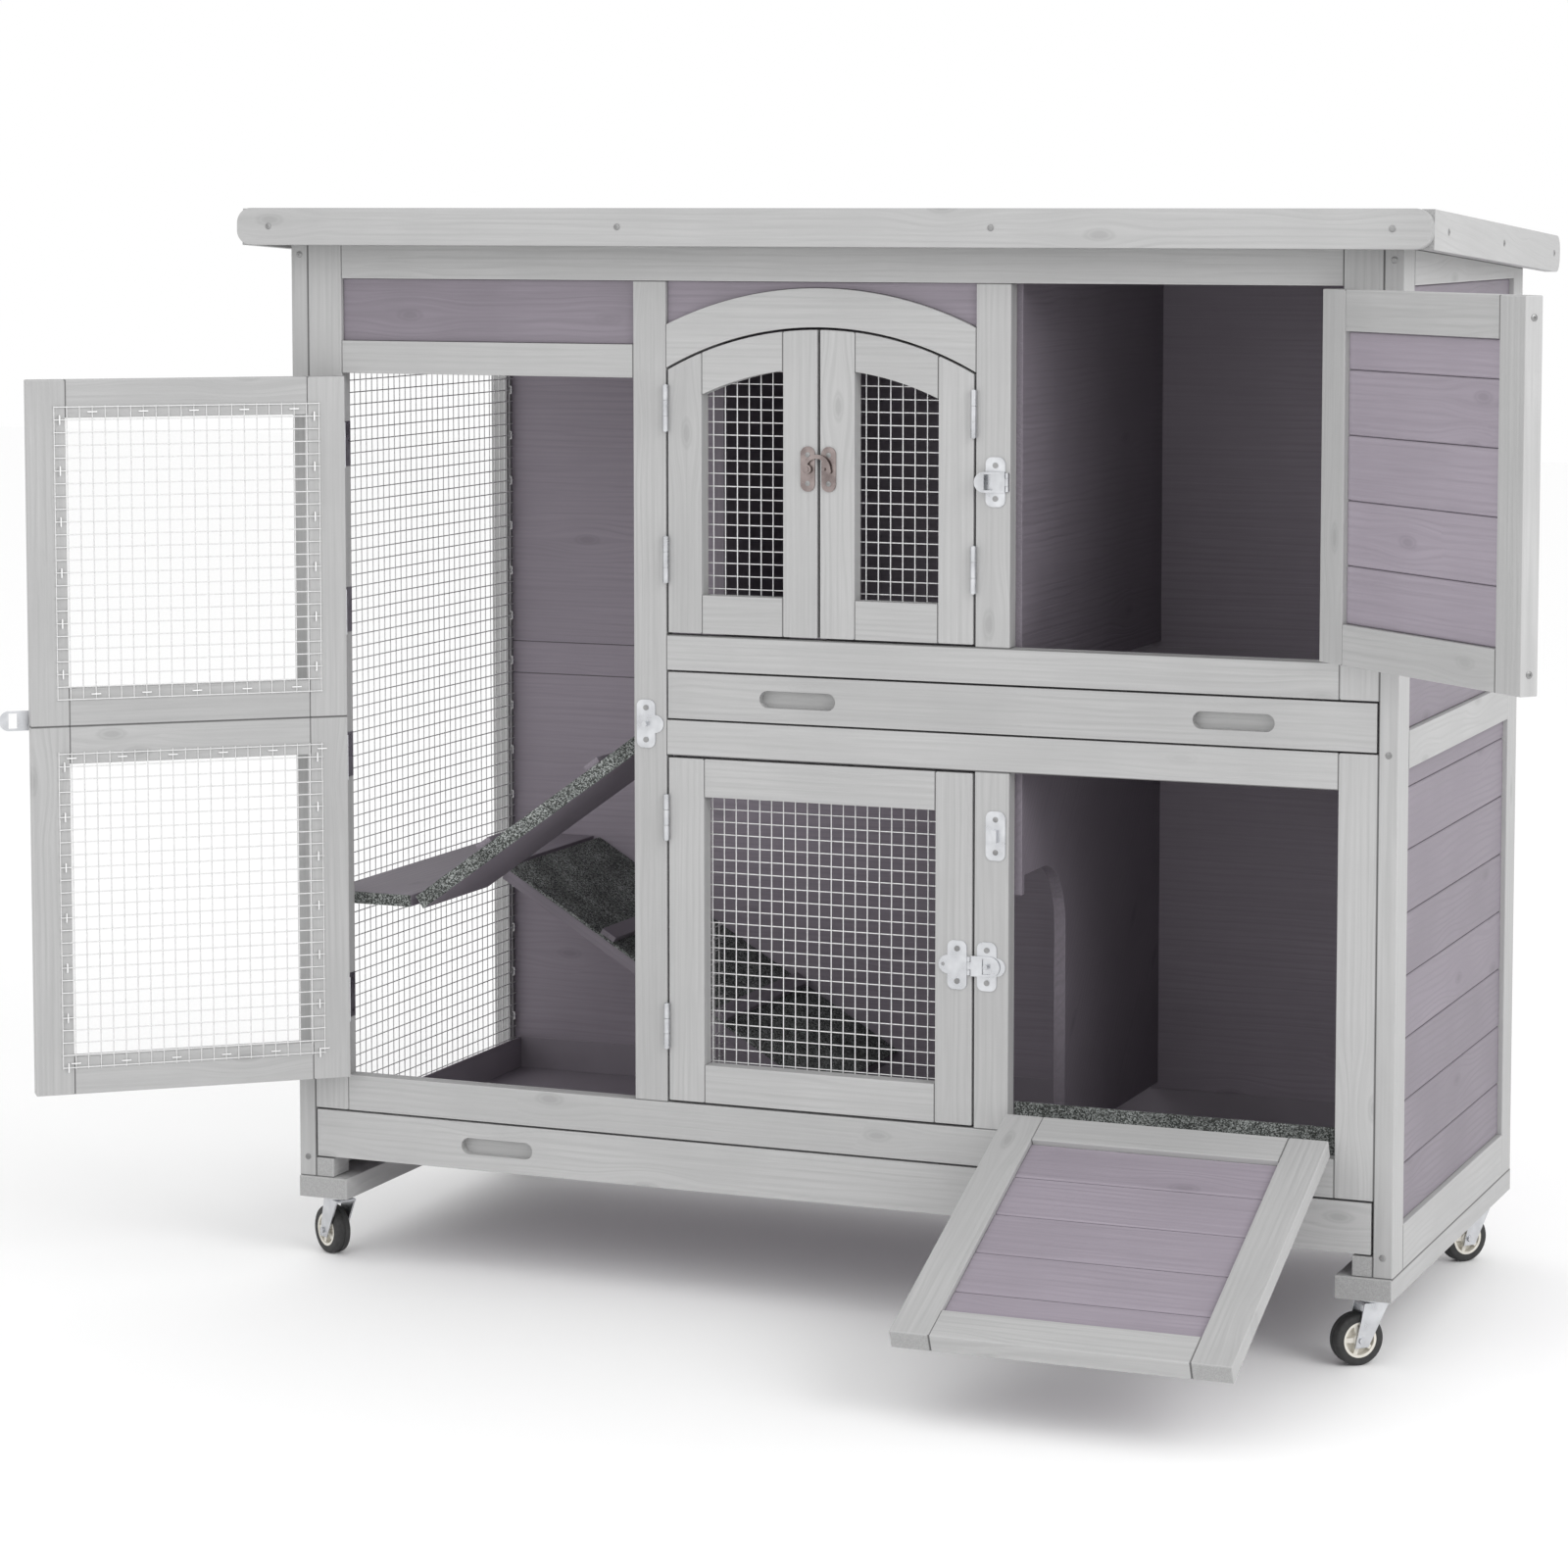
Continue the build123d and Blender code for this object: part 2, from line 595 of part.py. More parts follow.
def hasp(gap_x, side, z, stud=True):
    """A hasp across a gap: its base and pin, its flap, its catch plate with a staple, and the pin's place."""
    axis_x = gap_x - side * hasp_axis_inset
    axis_y = -hasp_knuckle_radius - bore_clearance
    bore = hasp_pin_radius + bore_clearance
    near = gap_x - side * hasp_base_inset
    far = near - side * plate_width
    base, heads = hasp_plate(min(near, far), max(near, far), z, far)
    base -= rod((far - side * pull_tab_radius / 2, -plate_thickness / 2, z), (0, 1, 0), pull_hole_radius,
                plate_thickness)
    offset = hasp_knuckle_half + knuckle_gap + hasp_knuckle_height / 2
    for rise in (-offset, offset):
        base += block(near - side * hasp_knuckle_radius, axis_x, -plate_thickness, 0,
                      z + rise - hasp_knuckle_height / 2, z + rise + hasp_knuckle_height / 2)
        base += rod((axis_x, axis_y, z + rise), (0, 0, 1), hasp_knuckle_radius, hasp_knuckle_height)
        base -= rod((axis_x, axis_y, z + rise), (0, 0, 1), bore, hasp_knuckle_height)
    pin = rod((axis_x, axis_y, z), (0, 0, 1), hasp_pin_radius, 2 * offset + hasp_knuckle_height)
    y_near = -plate_thickness - flap_lift
    y_far = y_near - plate_thickness
    y_flap = (y_near + y_far) / 2
    clear = hasp_knuckle_radius + knuckle_gap
    flap_end_x = axis_x + side * (flap_length - flap_height / 2)
    flap = block(axis_x + side * clear, flap_end_x, y_far, y_near, z - flap_height / 2, z + flap_height / 2)
    flap += rod((flap_end_x, y_flap, z), (0, 1, 0), flap_height / 2, plate_thickness)
    flap += block(axis_x, axis_x + side * (clear + plate_thickness), y_far, y_near,
                  z - hasp_knuckle_half, z + hasp_knuckle_half)
    flap += rod((axis_x, axis_y, z), (0, 0, 1), hasp_knuckle_radius, 2 * hasp_knuckle_half)
    flap -= rod((axis_x, axis_y, z), (0, 0, 1), bore, 2 * hasp_knuckle_half)
    catch_near = gap_x + side * catch_inset
    catch_far = catch_near + side * plate_width
    staple_x = (catch_near + catch_far) / 2
    flap -= block(staple_x - flap_slot_width / 2, staple_x + flap_slot_width / 2, y_far, y_near,
                  z - flap_slot_height / 2, z + flap_slot_height / 2)
    staple_y = -plate_thickness - staple_length / 2
    if stud:
        catch, catch_heads = hasp_plate(min(catch_near, catch_far), max(catch_near, catch_far), z,
                                        catch_far)
        catch += rod((staple_x, staple_y, z), (0, 1, 0), stud_radius, staple_length)
    else:
        catch, catch_heads = hasp_plate(min(catch_near, catch_far), max(catch_near, catch_far), z)
        catch += block(staple_x - loop_width / 2, staple_x + loop_width / 2,
                       -plate_thickness - staple_length, -plate_thickness,
                       z - loop_height / 2, z + loop_height / 2)
    return [base, pin] + heads, flap, [catch] + catch_heads, (axis_x, axis_y, z)


# ---------------------------------------------------------------- doors, made shut and then swung open
def swing_z(angle, x, y):
    """Turns a piece about an upright axis."""
    return Pos(x, y, 0) * Rot(0, 0, angle) * Pos(-x, -y, 0)


def door_frame(x0, x1, z0, z1, member=door_member):
    """Two upright stiles with two rails between them."""
    return [block(x0, x0 + member, 0, timber, z0, z1), block(x1 - member, x1, 0, timber, z0, z1),
            block(x0 + member, x1 - member, 0, timber, z0, z0 + member),
            block(x0 + member, x1 - member, 0, timber, z1 - member, z1)]


def door_mesh(x0, x1, z0, z1, cut=None):
    """Welded mesh on a door's inner face, from frame to frame; cut keeps only what lies inside a shape."""
    made = []
    for x in mesh_places(x0, x1):
        made.append(block(x - half_wire, x + half_wire, timber, timber + wire, z0, z1))
    for z in mesh_places(z0, z1):
        made.append(block(x0, x1, timber + wire, timber + 2 * wire, z - half_wire, z + half_wire))
    if cut is None:
        return made
    return [piece for wire_bar in made for piece in (wire_bar & cut).solids()]


# The tall left door: two mesh frames stacked into one leaf.
left_axis = (x_bay1 + door_gap / 2, -axis_in_front)
left_x0 = x_bay1 + door_gap
left_x1 = x_post1 - door_gap
left_z0 = z_lower + door_gap
left_z1 = z_left_top - door_gap
left_seam = left_z0 + left_door_lower_part
left_swing = swing_z(-left_door_open, *left_axis)
window = door_member - mesh_overlap
for z0, z1 in ((left_z0, left_seam), (left_seam, left_z1)):
    add("left_door_frame", *[left_swing * s for s in door_frame(left_x0, left_x1, z0, z1)])
    add("left_door_mesh", *[left_swing * s for s in door_mesh(left_x0 + window, left_x1 - window,
                                                              z0 + window, z1 - window)])
left_hinges = [left_z1 - drop for drop in left_hinge_drops] + [left_z0 + rise for rise in left_hinge_rises]
for z in left_hinges:
    add("left_door_hardware", left_swing * hinge(Pos(left_axis[0], left_axis[1], z)))
left_hasp_z = left_seam + left_hasp_rise
pieces, flap, catch, left_flap_axis = hasp(x_post1 - door_gap / 2, 1, left_hasp_z)
add("left_door_hardware", *[left_swing * s for s in pieces])
add("left_hasp_flap", left_swing * flap)
add("post_catches", *catch)

# The arched double doors of the middle bay.
door_mid_gap = 3.0
arch_door_z0 = z_upper + door_gap
arch_cut_radius = door_arch_radius - door_gap
arch_stile = 36.0
arch_rail_band = 38.0
arch_mesh_top = z_upper_top - arch_band - 20.0
arch_head_foot = z_upper + 200.0  # below this a door has no arched rail


def arch_door(name, hinge_x, free_x):
    """One leaf of the arched pair, from its hinged edge to its free edge."""
    side = 1 if free_x > hinge_x else -1
    disc = arch_disc(arch_cut_radius, 0, timber)
    inner_disc = arch_disc(arch_cut_radius - arch_rail_band, 0, timber)
    hinge_stile = block(hinge_x, hinge_x + side * arch_stile, 0, timber, arch_door_z0, z_upper_top) & disc
    free_stile = block(free_x - side * arch_stile, free_x, 0, timber, arch_door_z0, z_upper_top) & disc
    a = hinge_x + side * arch_stile
    b = free_x - side * arch_stile
    foot = block(a, b, 0, timber, arch_door_z0, arch_door_z0 + door_member)
    head = (block(a, b, 0, timber, arch_head_foot, z_upper_top) & disc) - inner_disc
    add(name + "_frame", *hinge_stile.solids(), *free_stile.solids(), foot, *head.solids())
    mesh_cut = arch_disc(arch_cut_radius - arch_rail_band + mesh_overlap, timber, timber + 2 * wire)
    add(name + "_mesh", *door_mesh(min(a, b) - mesh_overlap, max(a, b) + mesh_overlap,
                                   arch_door_z0 + window, arch_mesh_top, mesh_cut))


arch_free_left = arch_middle - door_mid_gap / 2
arch_free_right = arch_middle + door_mid_gap / 2
arch_door("arch_door_left", x_bay2 + door_gap, arch_free_left)
arch_door("arch_door_right", x_post2 - door_gap, arch_free_right)
arch_left_axis = (x_bay2 + door_gap / 2, -axis_in_front)
arch_right_axis = (x_post2 - door_gap / 2, -axis_in_front)
for rise in arch_hinge_rises:
    add("arch_door_left_hardware", hinge(Pos(*arch_left_axis, z_upper + rise)))
    add("arch_door_right_hardware", hinge(Pos(*arch_right_axis, z_upper + rise), -1))

# The swing clasp: two narrow plates, and an arched arm that drops over a stud.
clasp_z = z_upper + 168.0
clasp_plate_width = 15.0
clasp_plate_height = 44.0
clasp_plate_offset = 11.0
clasp_plate_corner = 7.2
clasp_inner = 10.6
clasp_outer = 14.6
clasp_gap = 0.9  # between the plates and the arm in front of them
clasp_arm_thickness = 2.4
clasp_eye_radius = 4.6
clasp_tip_radius = 2.6
clasp_tip_drop = 1.5
arm_lead = 1.65  # the arm's middle, on from halfway between pivot and stud
clasp_stud_radius = 1.5
clasp_stud_inset = 4.5
clasp_stud_sunk = 0.2  # the stud ends this far inside the arm's outer face
clasp_pivot_radius = 2.4
clasp_pivot_end = 0.8
clasp_screw_radius = 2.6
clasp_screw_rise = clasp_plate_height / 2 - plate_screw_inset
for name, side in (("arch_door_left_hardware", -1), ("arch_door_right_hardware", 1)):
    x = arch_middle + side * clasp_plate_offset
    plate = block(x - clasp_plate_width / 2, x + clasp_plate_width / 2, -plate_thickness, 0,
                  clasp_z - clasp_plate_height / 2, clasp_z + clasp_plate_height / 2)
    add(name, fillet(plate.edges().filter_by(Axis.Y), clasp_plate_corner))
    for rise in (-clasp_screw_rise, clasp_screw_rise):
        add(name, rod((x, -plate_thickness - plate_screw_head / 2, clasp_z + rise), (0, 1, 0),
                      clasp_screw_radius, plate_screw_head))
clasp_pivot_x = arch_middle - clasp_plate_offset
clasp_stud_x = arch_middle + clasp_plate_offset - clasp_stud_inset
clasp_y1 = -plate_thickness - clasp_gap
clasp_y0 = clasp_y1 - clasp_arm_thickness
pivot_length = clasp_gap + clasp_arm_thickness + clasp_pivot_end
add("arch_door_left_hardware", rod((clasp_pivot_x, -plate_thickness - pivot_length / 2, clasp_z),
                                   (0, 1, 0), clasp_pivot_radius, pivot_length))
stud_length = clasp_gap + clasp_arm_thickness - clasp_stud_sunk
add("arch_door_right_hardware", rod((clasp_stud_x, -plate_thickness - stud_length / 2, clasp_z),
                                    (0, 1, 0), clasp_stud_radius, stud_length))
arm_middle = (clasp_pivot_x + clasp_stud_x) / 2 + arm_lead
arm_y = (clasp_y0 + clasp_y1) / 2
ring = rod((arm_middle, arm_y, clasp_z), (0, 1, 0), clasp_outer, clasp_arm_thickness)
ring -= rod((arm_middle, arm_y, clasp_z), (0, 1, 0), clasp_inner, clasp_arm_thickness)
arm = ring - block(arm_middle - clasp_outer, arm_middle + clasp_outer, clasp_y0, clasp_y1,
                   clasp_z - clasp_outer, clasp_z)
arm += rod((clasp_pivot_x, arm_y, clasp_z), (0, 1, 0), clasp_eye_radius, clasp_arm_thickness)
tip_x = arm_middle + (clasp_inner + clasp_outer) / 2
arm += rod((tip_x, arm_y, clasp_z - clasp_tip_drop), (0, 1, 0), clasp_tip_radius, clasp_arm_thickness)
arm -= rod((clasp_pivot_x, arm_y, clasp_z), (0, 1, 0), clasp_pivot_radius + bore_clearance,
           clasp_arm_thickness)
add("clasp_arm", arm)

# The mesh door below it, shut by a hasp.
lower_axis = (x_bay2 + door_gap / 2, -axis_in_front)
lower_x0 = x_bay2 + door_gap
lower_x1 = x_post2 - door_gap
lower_z0 = z_lower + door_gap
lower_z1 = z_lower_top - door_gap
add("lower_door_frame", *door_frame(lower_x0, lower_x1, lower_z0, lower_z1))
add("lower_door_mesh", *door_mesh(lower_x0 + window, lower_x1 - window,
                                  lower_z0 + window, lower_z1 - window))
for z in (z_lower + lower_hinge_rise, z_lower_top - door_hinge_inset):
    add("lower_door_hardware", hinge(Pos(*lower_axis, z)))
lower_hasp_z = z_lower + lower_hasp_rise
pieces, flap, catch, lower_flap_axis = hasp(x_post2 - door_gap / 2, 1, lower_hasp_z)
add("lower_door_hardware", *pieces)
add("lower_hasp_flap", flap)
add("post_catches", *catch)

# The boarded door of the upper right bay, hung on its right; its hasp's flap stays on the post.
right_axis = (x_right_stile - door_gap / 2, -axis_in_front)
right_x0 = x_bay3 + door_gap
right_x1 = x_right_stile - door_gap
right_z0 = z_upper + door_gap
right_z1 = z_upper_top - door_gap
right_swing = swing_z(right_door_open, *right_axis)
add("right_door_frame", *[right_swing * s for s in door_frame(right_x0, right_x1, right_z0, right_z1)])
add("right_door_boards", *[right_swing * s for s in door_boards(
    right_x0 + door_member, right_x1 - door_member, right_z0 + door_member, right_z1 - door_member)])
for z in (z_upper + door_hinge_inset, z_upper_top - door_hinge_inset):
    add("right_door_hardware", right_swing * hinge(Pos(*right_axis, z), -1))
for z in (right_z0 + door_member / 2, right_z1 - door_member / 2):
    edge_screw = rod((right_x0 - screw_head / 2, timber / 2, z), (1, 0, 0), screw_radius, screw_head)
    add("right_door_hardware", right_swing * edge_screw)
right_hasp_z = z_upper + right_hasp_rise
pieces, flap, catch, right_flap_axis = hasp(x_bay3 + door_gap / 2, 1, right_hasp_z)
add("post_catches", *pieces)
add("right_hasp_flap", swing_z(-post_flap_open, right_flap_axis[0], right_flap_axis[1]) * flap)
add("right_door_hardware", *[right_swing * s for s in catch])

# The boarded ramp door of the lower right bay, hung along its foot.
ramp_axis = (-axis_in_front, z_lower + door_gap / 2)
ramp_z0 = z_lower + door_gap
ramp_z1 = z_lower_top - door_gap
ramp_swing = Pos(0, *ramp_axis) * Rot(ramp_door_open, 0, 0) * Pos(0, -ramp_axis[0], -ramp_axis[1])
add("ramp_door_frame", *[ramp_swing * s for s in door_frame(right_x0, right_x1, ramp_z0, ramp_z1)])
add("ramp_door_boards", *[ramp_swing * s for s in door_boards(
    right_x0 + door_member, right_x1 - door_member, ramp_z0 + door_member, ramp_z1 - door_member)])
for x in (x_bay3 + door_hinge_inset, x_right_stile - door_hinge_inset):
    add("ramp_door_hardware", ramp_swing * hinge(Pos(x, *ramp_axis) * Rot(0, -90, 0)))
ramp_hasp_z = z_lower_top - ramp_hasp_drop
pieces, flap, catch, ramp_flap_axis = hasp(x_bay3 + door_gap / 2, -1, ramp_hasp_z, stud=False)
add("ramp_door_hardware", *[ramp_swing * s for s in pieces])
add("ramp_hasp_flap", ramp_swing * swing_z(ramp_flap_hang, ramp_flap_axis[0], ramp_flap_axis[1]) * flap)
add("post_catches", *catch)

# ---------------------------------------------------------------- feet and casters
plank_overrun = 2.0  # past the front and back faces
foot_block_depth = side_post_depth - foot_block_gap
for x0 in (0, width - plank_width):
    add("foot_planks", block(x0, x0 + plank_width, -plank_overrun, depth + plank_overrun,
                             caster_height, z_frame))
for x0 in (post_width, width - post_width - foot_block_width):
    add("foot_planks", block(x0, x0 + foot_block_width, 0, foot_block_depth, z_frame, z_tray - tray_play))

caster_inset_x = 28.0
caster_inset_y = 34.0
cup_radius = 13.0
cup_height = 5.0
crown_height = 2.5
tyre_shoulder = 3.0
fork_half = wheel_width / 2 + fork_gap
axle_length = 2 * (fork_half + fork_sheet + axle_end)
# Each caster: the middle of its plate, its turn about the upright, and the side the wheel trails to.
caster_turns = {
    "front_left": (caster_inset_x, caster_inset_y, -32.0, -1),
    "front_right": (width - caster_inset_x, caster_inset_y, 42.0, -1),
    "rear_left": (caster_inset_x, depth - caster_inset_y, -20.0, 1),
    "rear_right": (width - caster_inset_x, depth - caster_inset_y, 50.0, -1),
}
wheel_centres = {}
wheel_axes = {}
for place_name, (cx, cy, heading, trail) in caster_turns.items():
    half_plate = caster_plate / 2
    plate_z0 = caster_height - caster_plate_thickness
    plate = block(-half_plate, half_plate, -half_plate, half_plate, plate_z0, caster_height)
    plate = fillet(plate.edges().filter_by(Axis.Z), caster_plate_corner)
    cup_z0 = plate_z0 - cup_height
    cup = Pos(0, 0, plate_z0 - cup_height / 2) * Cylinder(cup_radius, cup_height)
    add("caster_plates", Pos(cx, cy, 0) * plate, Pos(cx, cy, 0) * cup)
    crown_z1 = cup_z0 - swivel_clearance
    crown_z0 = crown_z1 - crown_height
    wheel_x = trail * caster_offset
    axle_place = (wheel_x, 0, wheel_radius)
    turn = Pos(cx, cy, 0) * Rot(0, 0, heading)
    fork = block(-cup_radius, cup_radius, -fork_half - fork_sheet, fork_half + fork_sheet, crown_z0, crown_z1)
    leg_foot = wheel_radius - fork_foot
    leg_outline = [(-cup_radius, crown_z1), (cup_radius, crown_z1), (wheel_x + fork_foot, leg_foot),
                   (wheel_x - fork_foot, leg_foot)]
    for y0 in (-fork_half - fork_sheet, fork_half):
        fork += prism_y(leg_outline, y0, y0 + fork_sheet)
    axle = rod(axle_place, (0, 1, 0), axle_radius, axle_length)
    add("caster_fork_" + place_name, turn * (fork - axle), turn * axle)
    hub = rod(axle_place, (0, 1, 0), hub_radius, wheel_width)
    hub -= rod(axle_place, (0, 1, 0), axle_radius + bore_clearance, wheel_width)
    tyre = rod(axle_place, (0, 1, 0), wheel_radius, wheel_width)
    tyre = fillet(tyre.edges(), tyre_shoulder) - rod(axle_place, (0, 1, 0), hub_radius, wheel_width)
    add("caster_wheel_" + place_name, turn * hub, turn * tyre)
    wheel_centres[place_name] = (cx + wheel_x * cos(radians(heading)), cy + wheel_x * sin(radians(heading)),
                                 wheel_radius)
    wheel_axes[place_name] = (-sin(radians(heading)), cos(radians(heading)), 0.0)

# ---------------------------------------------------------------- screws that hold the frame and the trim
post_screw_rise = 20.0
post_screw_drop = 12.0
post_screw_heights = (z_frame + post_screw_rise, z_slot, z_wall_top - post_screw_drop)
for x in (post_width / 2, width - post_width / 2):
    for z in post_screw_heights:
        add("frame_screws", rod((x, -screw_head / 2, z), (0, 1, 0), screw_radius, screw_head))
fascia_screws = 4
side_trim_screws = 3
side_trim_inset = 20.0
trim_middle = (fascia_foot + fascia_top) / 2
for i in range(fascia_screws):
    x = width * i / (fascia_screws - 1)
    add("frame_screws", roof_place * rod((x, -roof_overhang_front - screw_head / 2, trim_middle), (0, 1, 0),
                                         screw_radius, screw_head))
for x in (roof_x0 - screw_head / 2, roof_x1 + screw_head / 2):
    for i in range(side_trim_screws):
        y = side_trim_inset + i * (roof_run - 2 * side_trim_inset) / (side_trim_screws - 1)
        add("frame_screws", roof_place * rod((x, y, trim_middle), (1, 0, 0), screw_radius, screw_head))

# ---------------------------------------------------------------- written with the origin under the middle
every_solid = [solid for shapes in parts.values() for shape in shapes for solid in shape.solids()]
whole = Compound(children=every_solid).bounding_box()
shift_x = -(whole.min.X + whole.max.X) / 2
shift_y = -(whole.min.Y + whole.max.Y) / 2
shift_z = -whole.min.Z
for name, shapes in parts.items():
    solids = [Pos(shift_x, shift_y, shift_z) * solid for shape in shapes for solid in shape.solids()]
    export_step(Compound(children=solids), "parts/" + name + ".step")
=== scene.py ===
import bpy
import bmesh
import json
import math
import random
from mathutils import Matrix, Vector
from mathutils.bvhtree import BVHTree


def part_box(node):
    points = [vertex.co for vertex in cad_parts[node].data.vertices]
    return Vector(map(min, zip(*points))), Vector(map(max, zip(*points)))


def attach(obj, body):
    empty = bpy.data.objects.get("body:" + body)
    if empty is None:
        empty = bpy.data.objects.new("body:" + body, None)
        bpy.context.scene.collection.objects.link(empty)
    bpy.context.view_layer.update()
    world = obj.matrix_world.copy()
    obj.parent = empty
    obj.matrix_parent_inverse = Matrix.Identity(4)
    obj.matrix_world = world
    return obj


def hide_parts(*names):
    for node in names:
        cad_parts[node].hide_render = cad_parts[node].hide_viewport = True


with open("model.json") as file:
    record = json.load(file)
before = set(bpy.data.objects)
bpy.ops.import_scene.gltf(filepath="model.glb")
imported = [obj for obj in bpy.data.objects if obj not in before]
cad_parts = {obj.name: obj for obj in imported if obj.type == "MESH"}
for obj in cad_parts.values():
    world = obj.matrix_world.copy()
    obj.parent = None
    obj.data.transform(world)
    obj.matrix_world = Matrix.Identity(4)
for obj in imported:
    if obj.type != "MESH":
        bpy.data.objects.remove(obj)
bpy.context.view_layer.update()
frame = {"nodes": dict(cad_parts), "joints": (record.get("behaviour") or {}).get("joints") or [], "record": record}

nodes = frame["nodes"]
joints = {joint["name"]: joint for joint in frame["joints"]}
slot_of = {part["node"]: part["material_slot"] for part in frame["record"]["subparts"]}
body_of = {}
for body, members in frame["record"]["behaviour"]["bodies"].items():
    for member in members:
        body_of[member] = body

# ============================================================ camera, light and floor
# The camera stands to the right of the hutch and looks a little down on it. Its lens axis is raised
# and the view shifted down, so that the posts stay nearly upright. Places are measured from the
# left front corner post at floor level.
post_low, post_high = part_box("side_frames")
corner = Vector((post_low.x, post_low.y, 0.0))
camera_offset = Vector((2.1133, -3.8441, 1.0962))
camera_yaw = math.radians(22.097)
camera_pitch = math.radians(4.903)
lens = 97.77
sensor_width = 36.0
view_shift = (-0.0057, -0.1375)

camera = bpy.data.objects.new("camera", bpy.data.cameras.new("camera"))
bpy.context.scene.collection.objects.link(camera)
camera.location = corner + camera_offset
camera.rotation_euler = (math.pi / 2 - camera_pitch, 0.0, camera_yaw)
camera.data.lens = lens
camera.data.sensor_width = sensor_width
camera.data.shift_x, camera.data.shift_y = view_shift
bpy.context.scene.camera = camera
bpy.context.scene.view_settings.view_transform = "Standard"

world = bpy.data.worlds.new("studio")
bpy.context.scene.world = world
world.use_nodes = True
world.node_tree.nodes["Background"].inputs["Color"].default_value = (1.0, 1.0, 1.0, 1.0)
world.node_tree.nodes["Background"].inputs["Strength"].default_value = 1.0


def soft_box(name, place, aim, size, watts):
    """A large square studio light that faces a point."""
    lamp = bpy.data.lights.new(name, "AREA")
    lamp.size = size
    lamp.energy = watts
    holder = bpy.data.objects.new(name, lamp)
    holder.location = place
    holder.rotation_euler = (Vector(aim) - Vector(place)).to_track_quat("-Z", "Y").to_euler()
    bpy.context.scene.collection.objects.link(holder)


soft_box("key_light", place=(3.6, -1.6, 2.6), aim=(0.2, 0.0, 0.6), size=2.4, watts=60.0)
soft_box("front_light", place=(-1.2, -4.2, 2.4), aim=(0.0, 0.0, 0.6), size=2.8, watts=24.0)


def material(name, metallic=0.0, roughness=0.5, specular=0.5):
    """A new surface and its node tree, with the constants set on the shader itself."""
    made = bpy.data.materials.new(name)
    made.use_nodes = True
    shader = made.node_tree.nodes["Principled BSDF"]
    shader.inputs["Metallic"].default_value = metallic
    shader.inputs["Roughness"].default_value = roughness
    shader.inputs["Specular IOR Level"].default_value = specular
    return made, made.node_tree, shader


def put(tree, kind, settings=(), **inputs):
    """A node in a tree. An input is named, or numbered as i0; it is a value, or an output to link."""
    node = tree.nodes.new(kind)
    for key, value in dict(settings).items():
        setattr(node, key, value)
    for key, value in inputs.items():
        numbered = key[0] == "i" and key[1:].isdigit()
        socket = node.inputs[int(key[1:]) if numbered else key]
        if isinstance(value, bpy.types.NodeSocket):
            tree.links.new(value, socket)
        else:
            socket.default_value = value
    return node


def blend_colour(tree, factor, first, second, how="MIX"):
    """Two colours mixed by a factor; returns the colour."""
    mix = put(tree, "ShaderNodeMix", {"data_type": "RGBA", "blend_type": how}, i0=factor, i6=first, i7=second)
    return mix.outputs[2]


def grey(value):
    """A neutral colour."""
    return (value, value, value, 1.0)


def clouded(name, dark, pale, scale, detail, metallic=0.0, roughness=0.5, specular=0.5):
    """A surface whose colour clouds between two tones; returns it, its tree, its shader and the cloud."""
    made, tree, shader = material(name, metallic, roughness, specular)
    place = put(tree, "ShaderNodeTexCoord").outputs["Object"]
    cloud = put(tree, "ShaderNodeTexNoise", Vector=place, Scale=scale, Detail=detail).outputs[0]
    tone = put(tree, "ShaderNodeValToRGB", Fac=cloud)
    tone.color_ramp.elements[0].color = dark
    tone.color_ramp.elements[1].color = pale
    tree.links.new(tone.outputs[0], shader.inputs["Base Color"])
    return made, tree, shader, cloud


def raise_surface(tree, shader, height, strength, distance):
    """Fine relief on a surface, too small to model."""
    relief = put(tree, "ShaderNodeBump", Strength=strength, Distance=distance, Height=height)
    tree.links.new(relief.outputs[0], shader.inputs["Normal"])


floor_mesh = bpy.data.meshes.new("studio_floor")
floor_half = 14.0
floor_corners = [(x * floor_half, y * floor_half, 0.0) for x, y in ((-1, -1), (1, -1), (1, 1), (-1, 1))]
floor_mesh.from_pydata(floor_corners, [], [(0, 1, 2, 3)])
floor = bpy.data.objects.new("studio_floor", floor_mesh)
bpy.context.scene.collection.objects.link(floor)
floor_paint, _, floor_shader = material("floor_paint", roughness=0.9, specular=0.1)
floor_shader.inputs["Base Color"].default_value = grey(0.98)
floor_mesh.materials.append(floor_paint)

# ============================================================ timber frame of the house
# Planed softwood, 18 mm thick, sawn to length, butt-jointed and screwed, with the sharp arrises taken
# off and two coats of thin light grey paint that leaves the grain, knots and end grain showing.
timber_arris = 0.0011
joint_reach = 0.0013
weld_digits = 6
least_area = 1e-12
square_limit = 0.05
end_grain_limit = 0.9
flat_angle = math.radians(1.0)
sharp_angle = math.radians(28)
pattern_span = 9
frame_grey = grey(0.42)
draw = random.Random(7)


def solids_of(node):
    """The closed pieces of a CAD node in the order they were made, as corner points and triangles."""
    data = nodes[node].data
    found = []
    points, faces, lookup, unmatched = [], [], {}, set()
    for polygon in data.polygons:
        face = []
        for index in polygon.vertices:
            co = data.vertices[index].co
            key = tuple(round(c, weld_digits) for c in co)
            if key not in lookup:
                lookup[key] = len(points)
                points.append(co.copy())
            face.append(lookup[key])
        if len(set(face)) < 3:
            continue
        faces.append(face)
        for a, b in zip(face, face[1:] + face[:1]):
            if (b, a) in unmatched:
                unmatched.remove((b, a))
            else:
                unmatched.add((a, b))
        if not unmatched:
            found.append((points, faces))
            points, faces, lookup = [], [], {}
    if faces:
        found.append((points, faces))
    return found


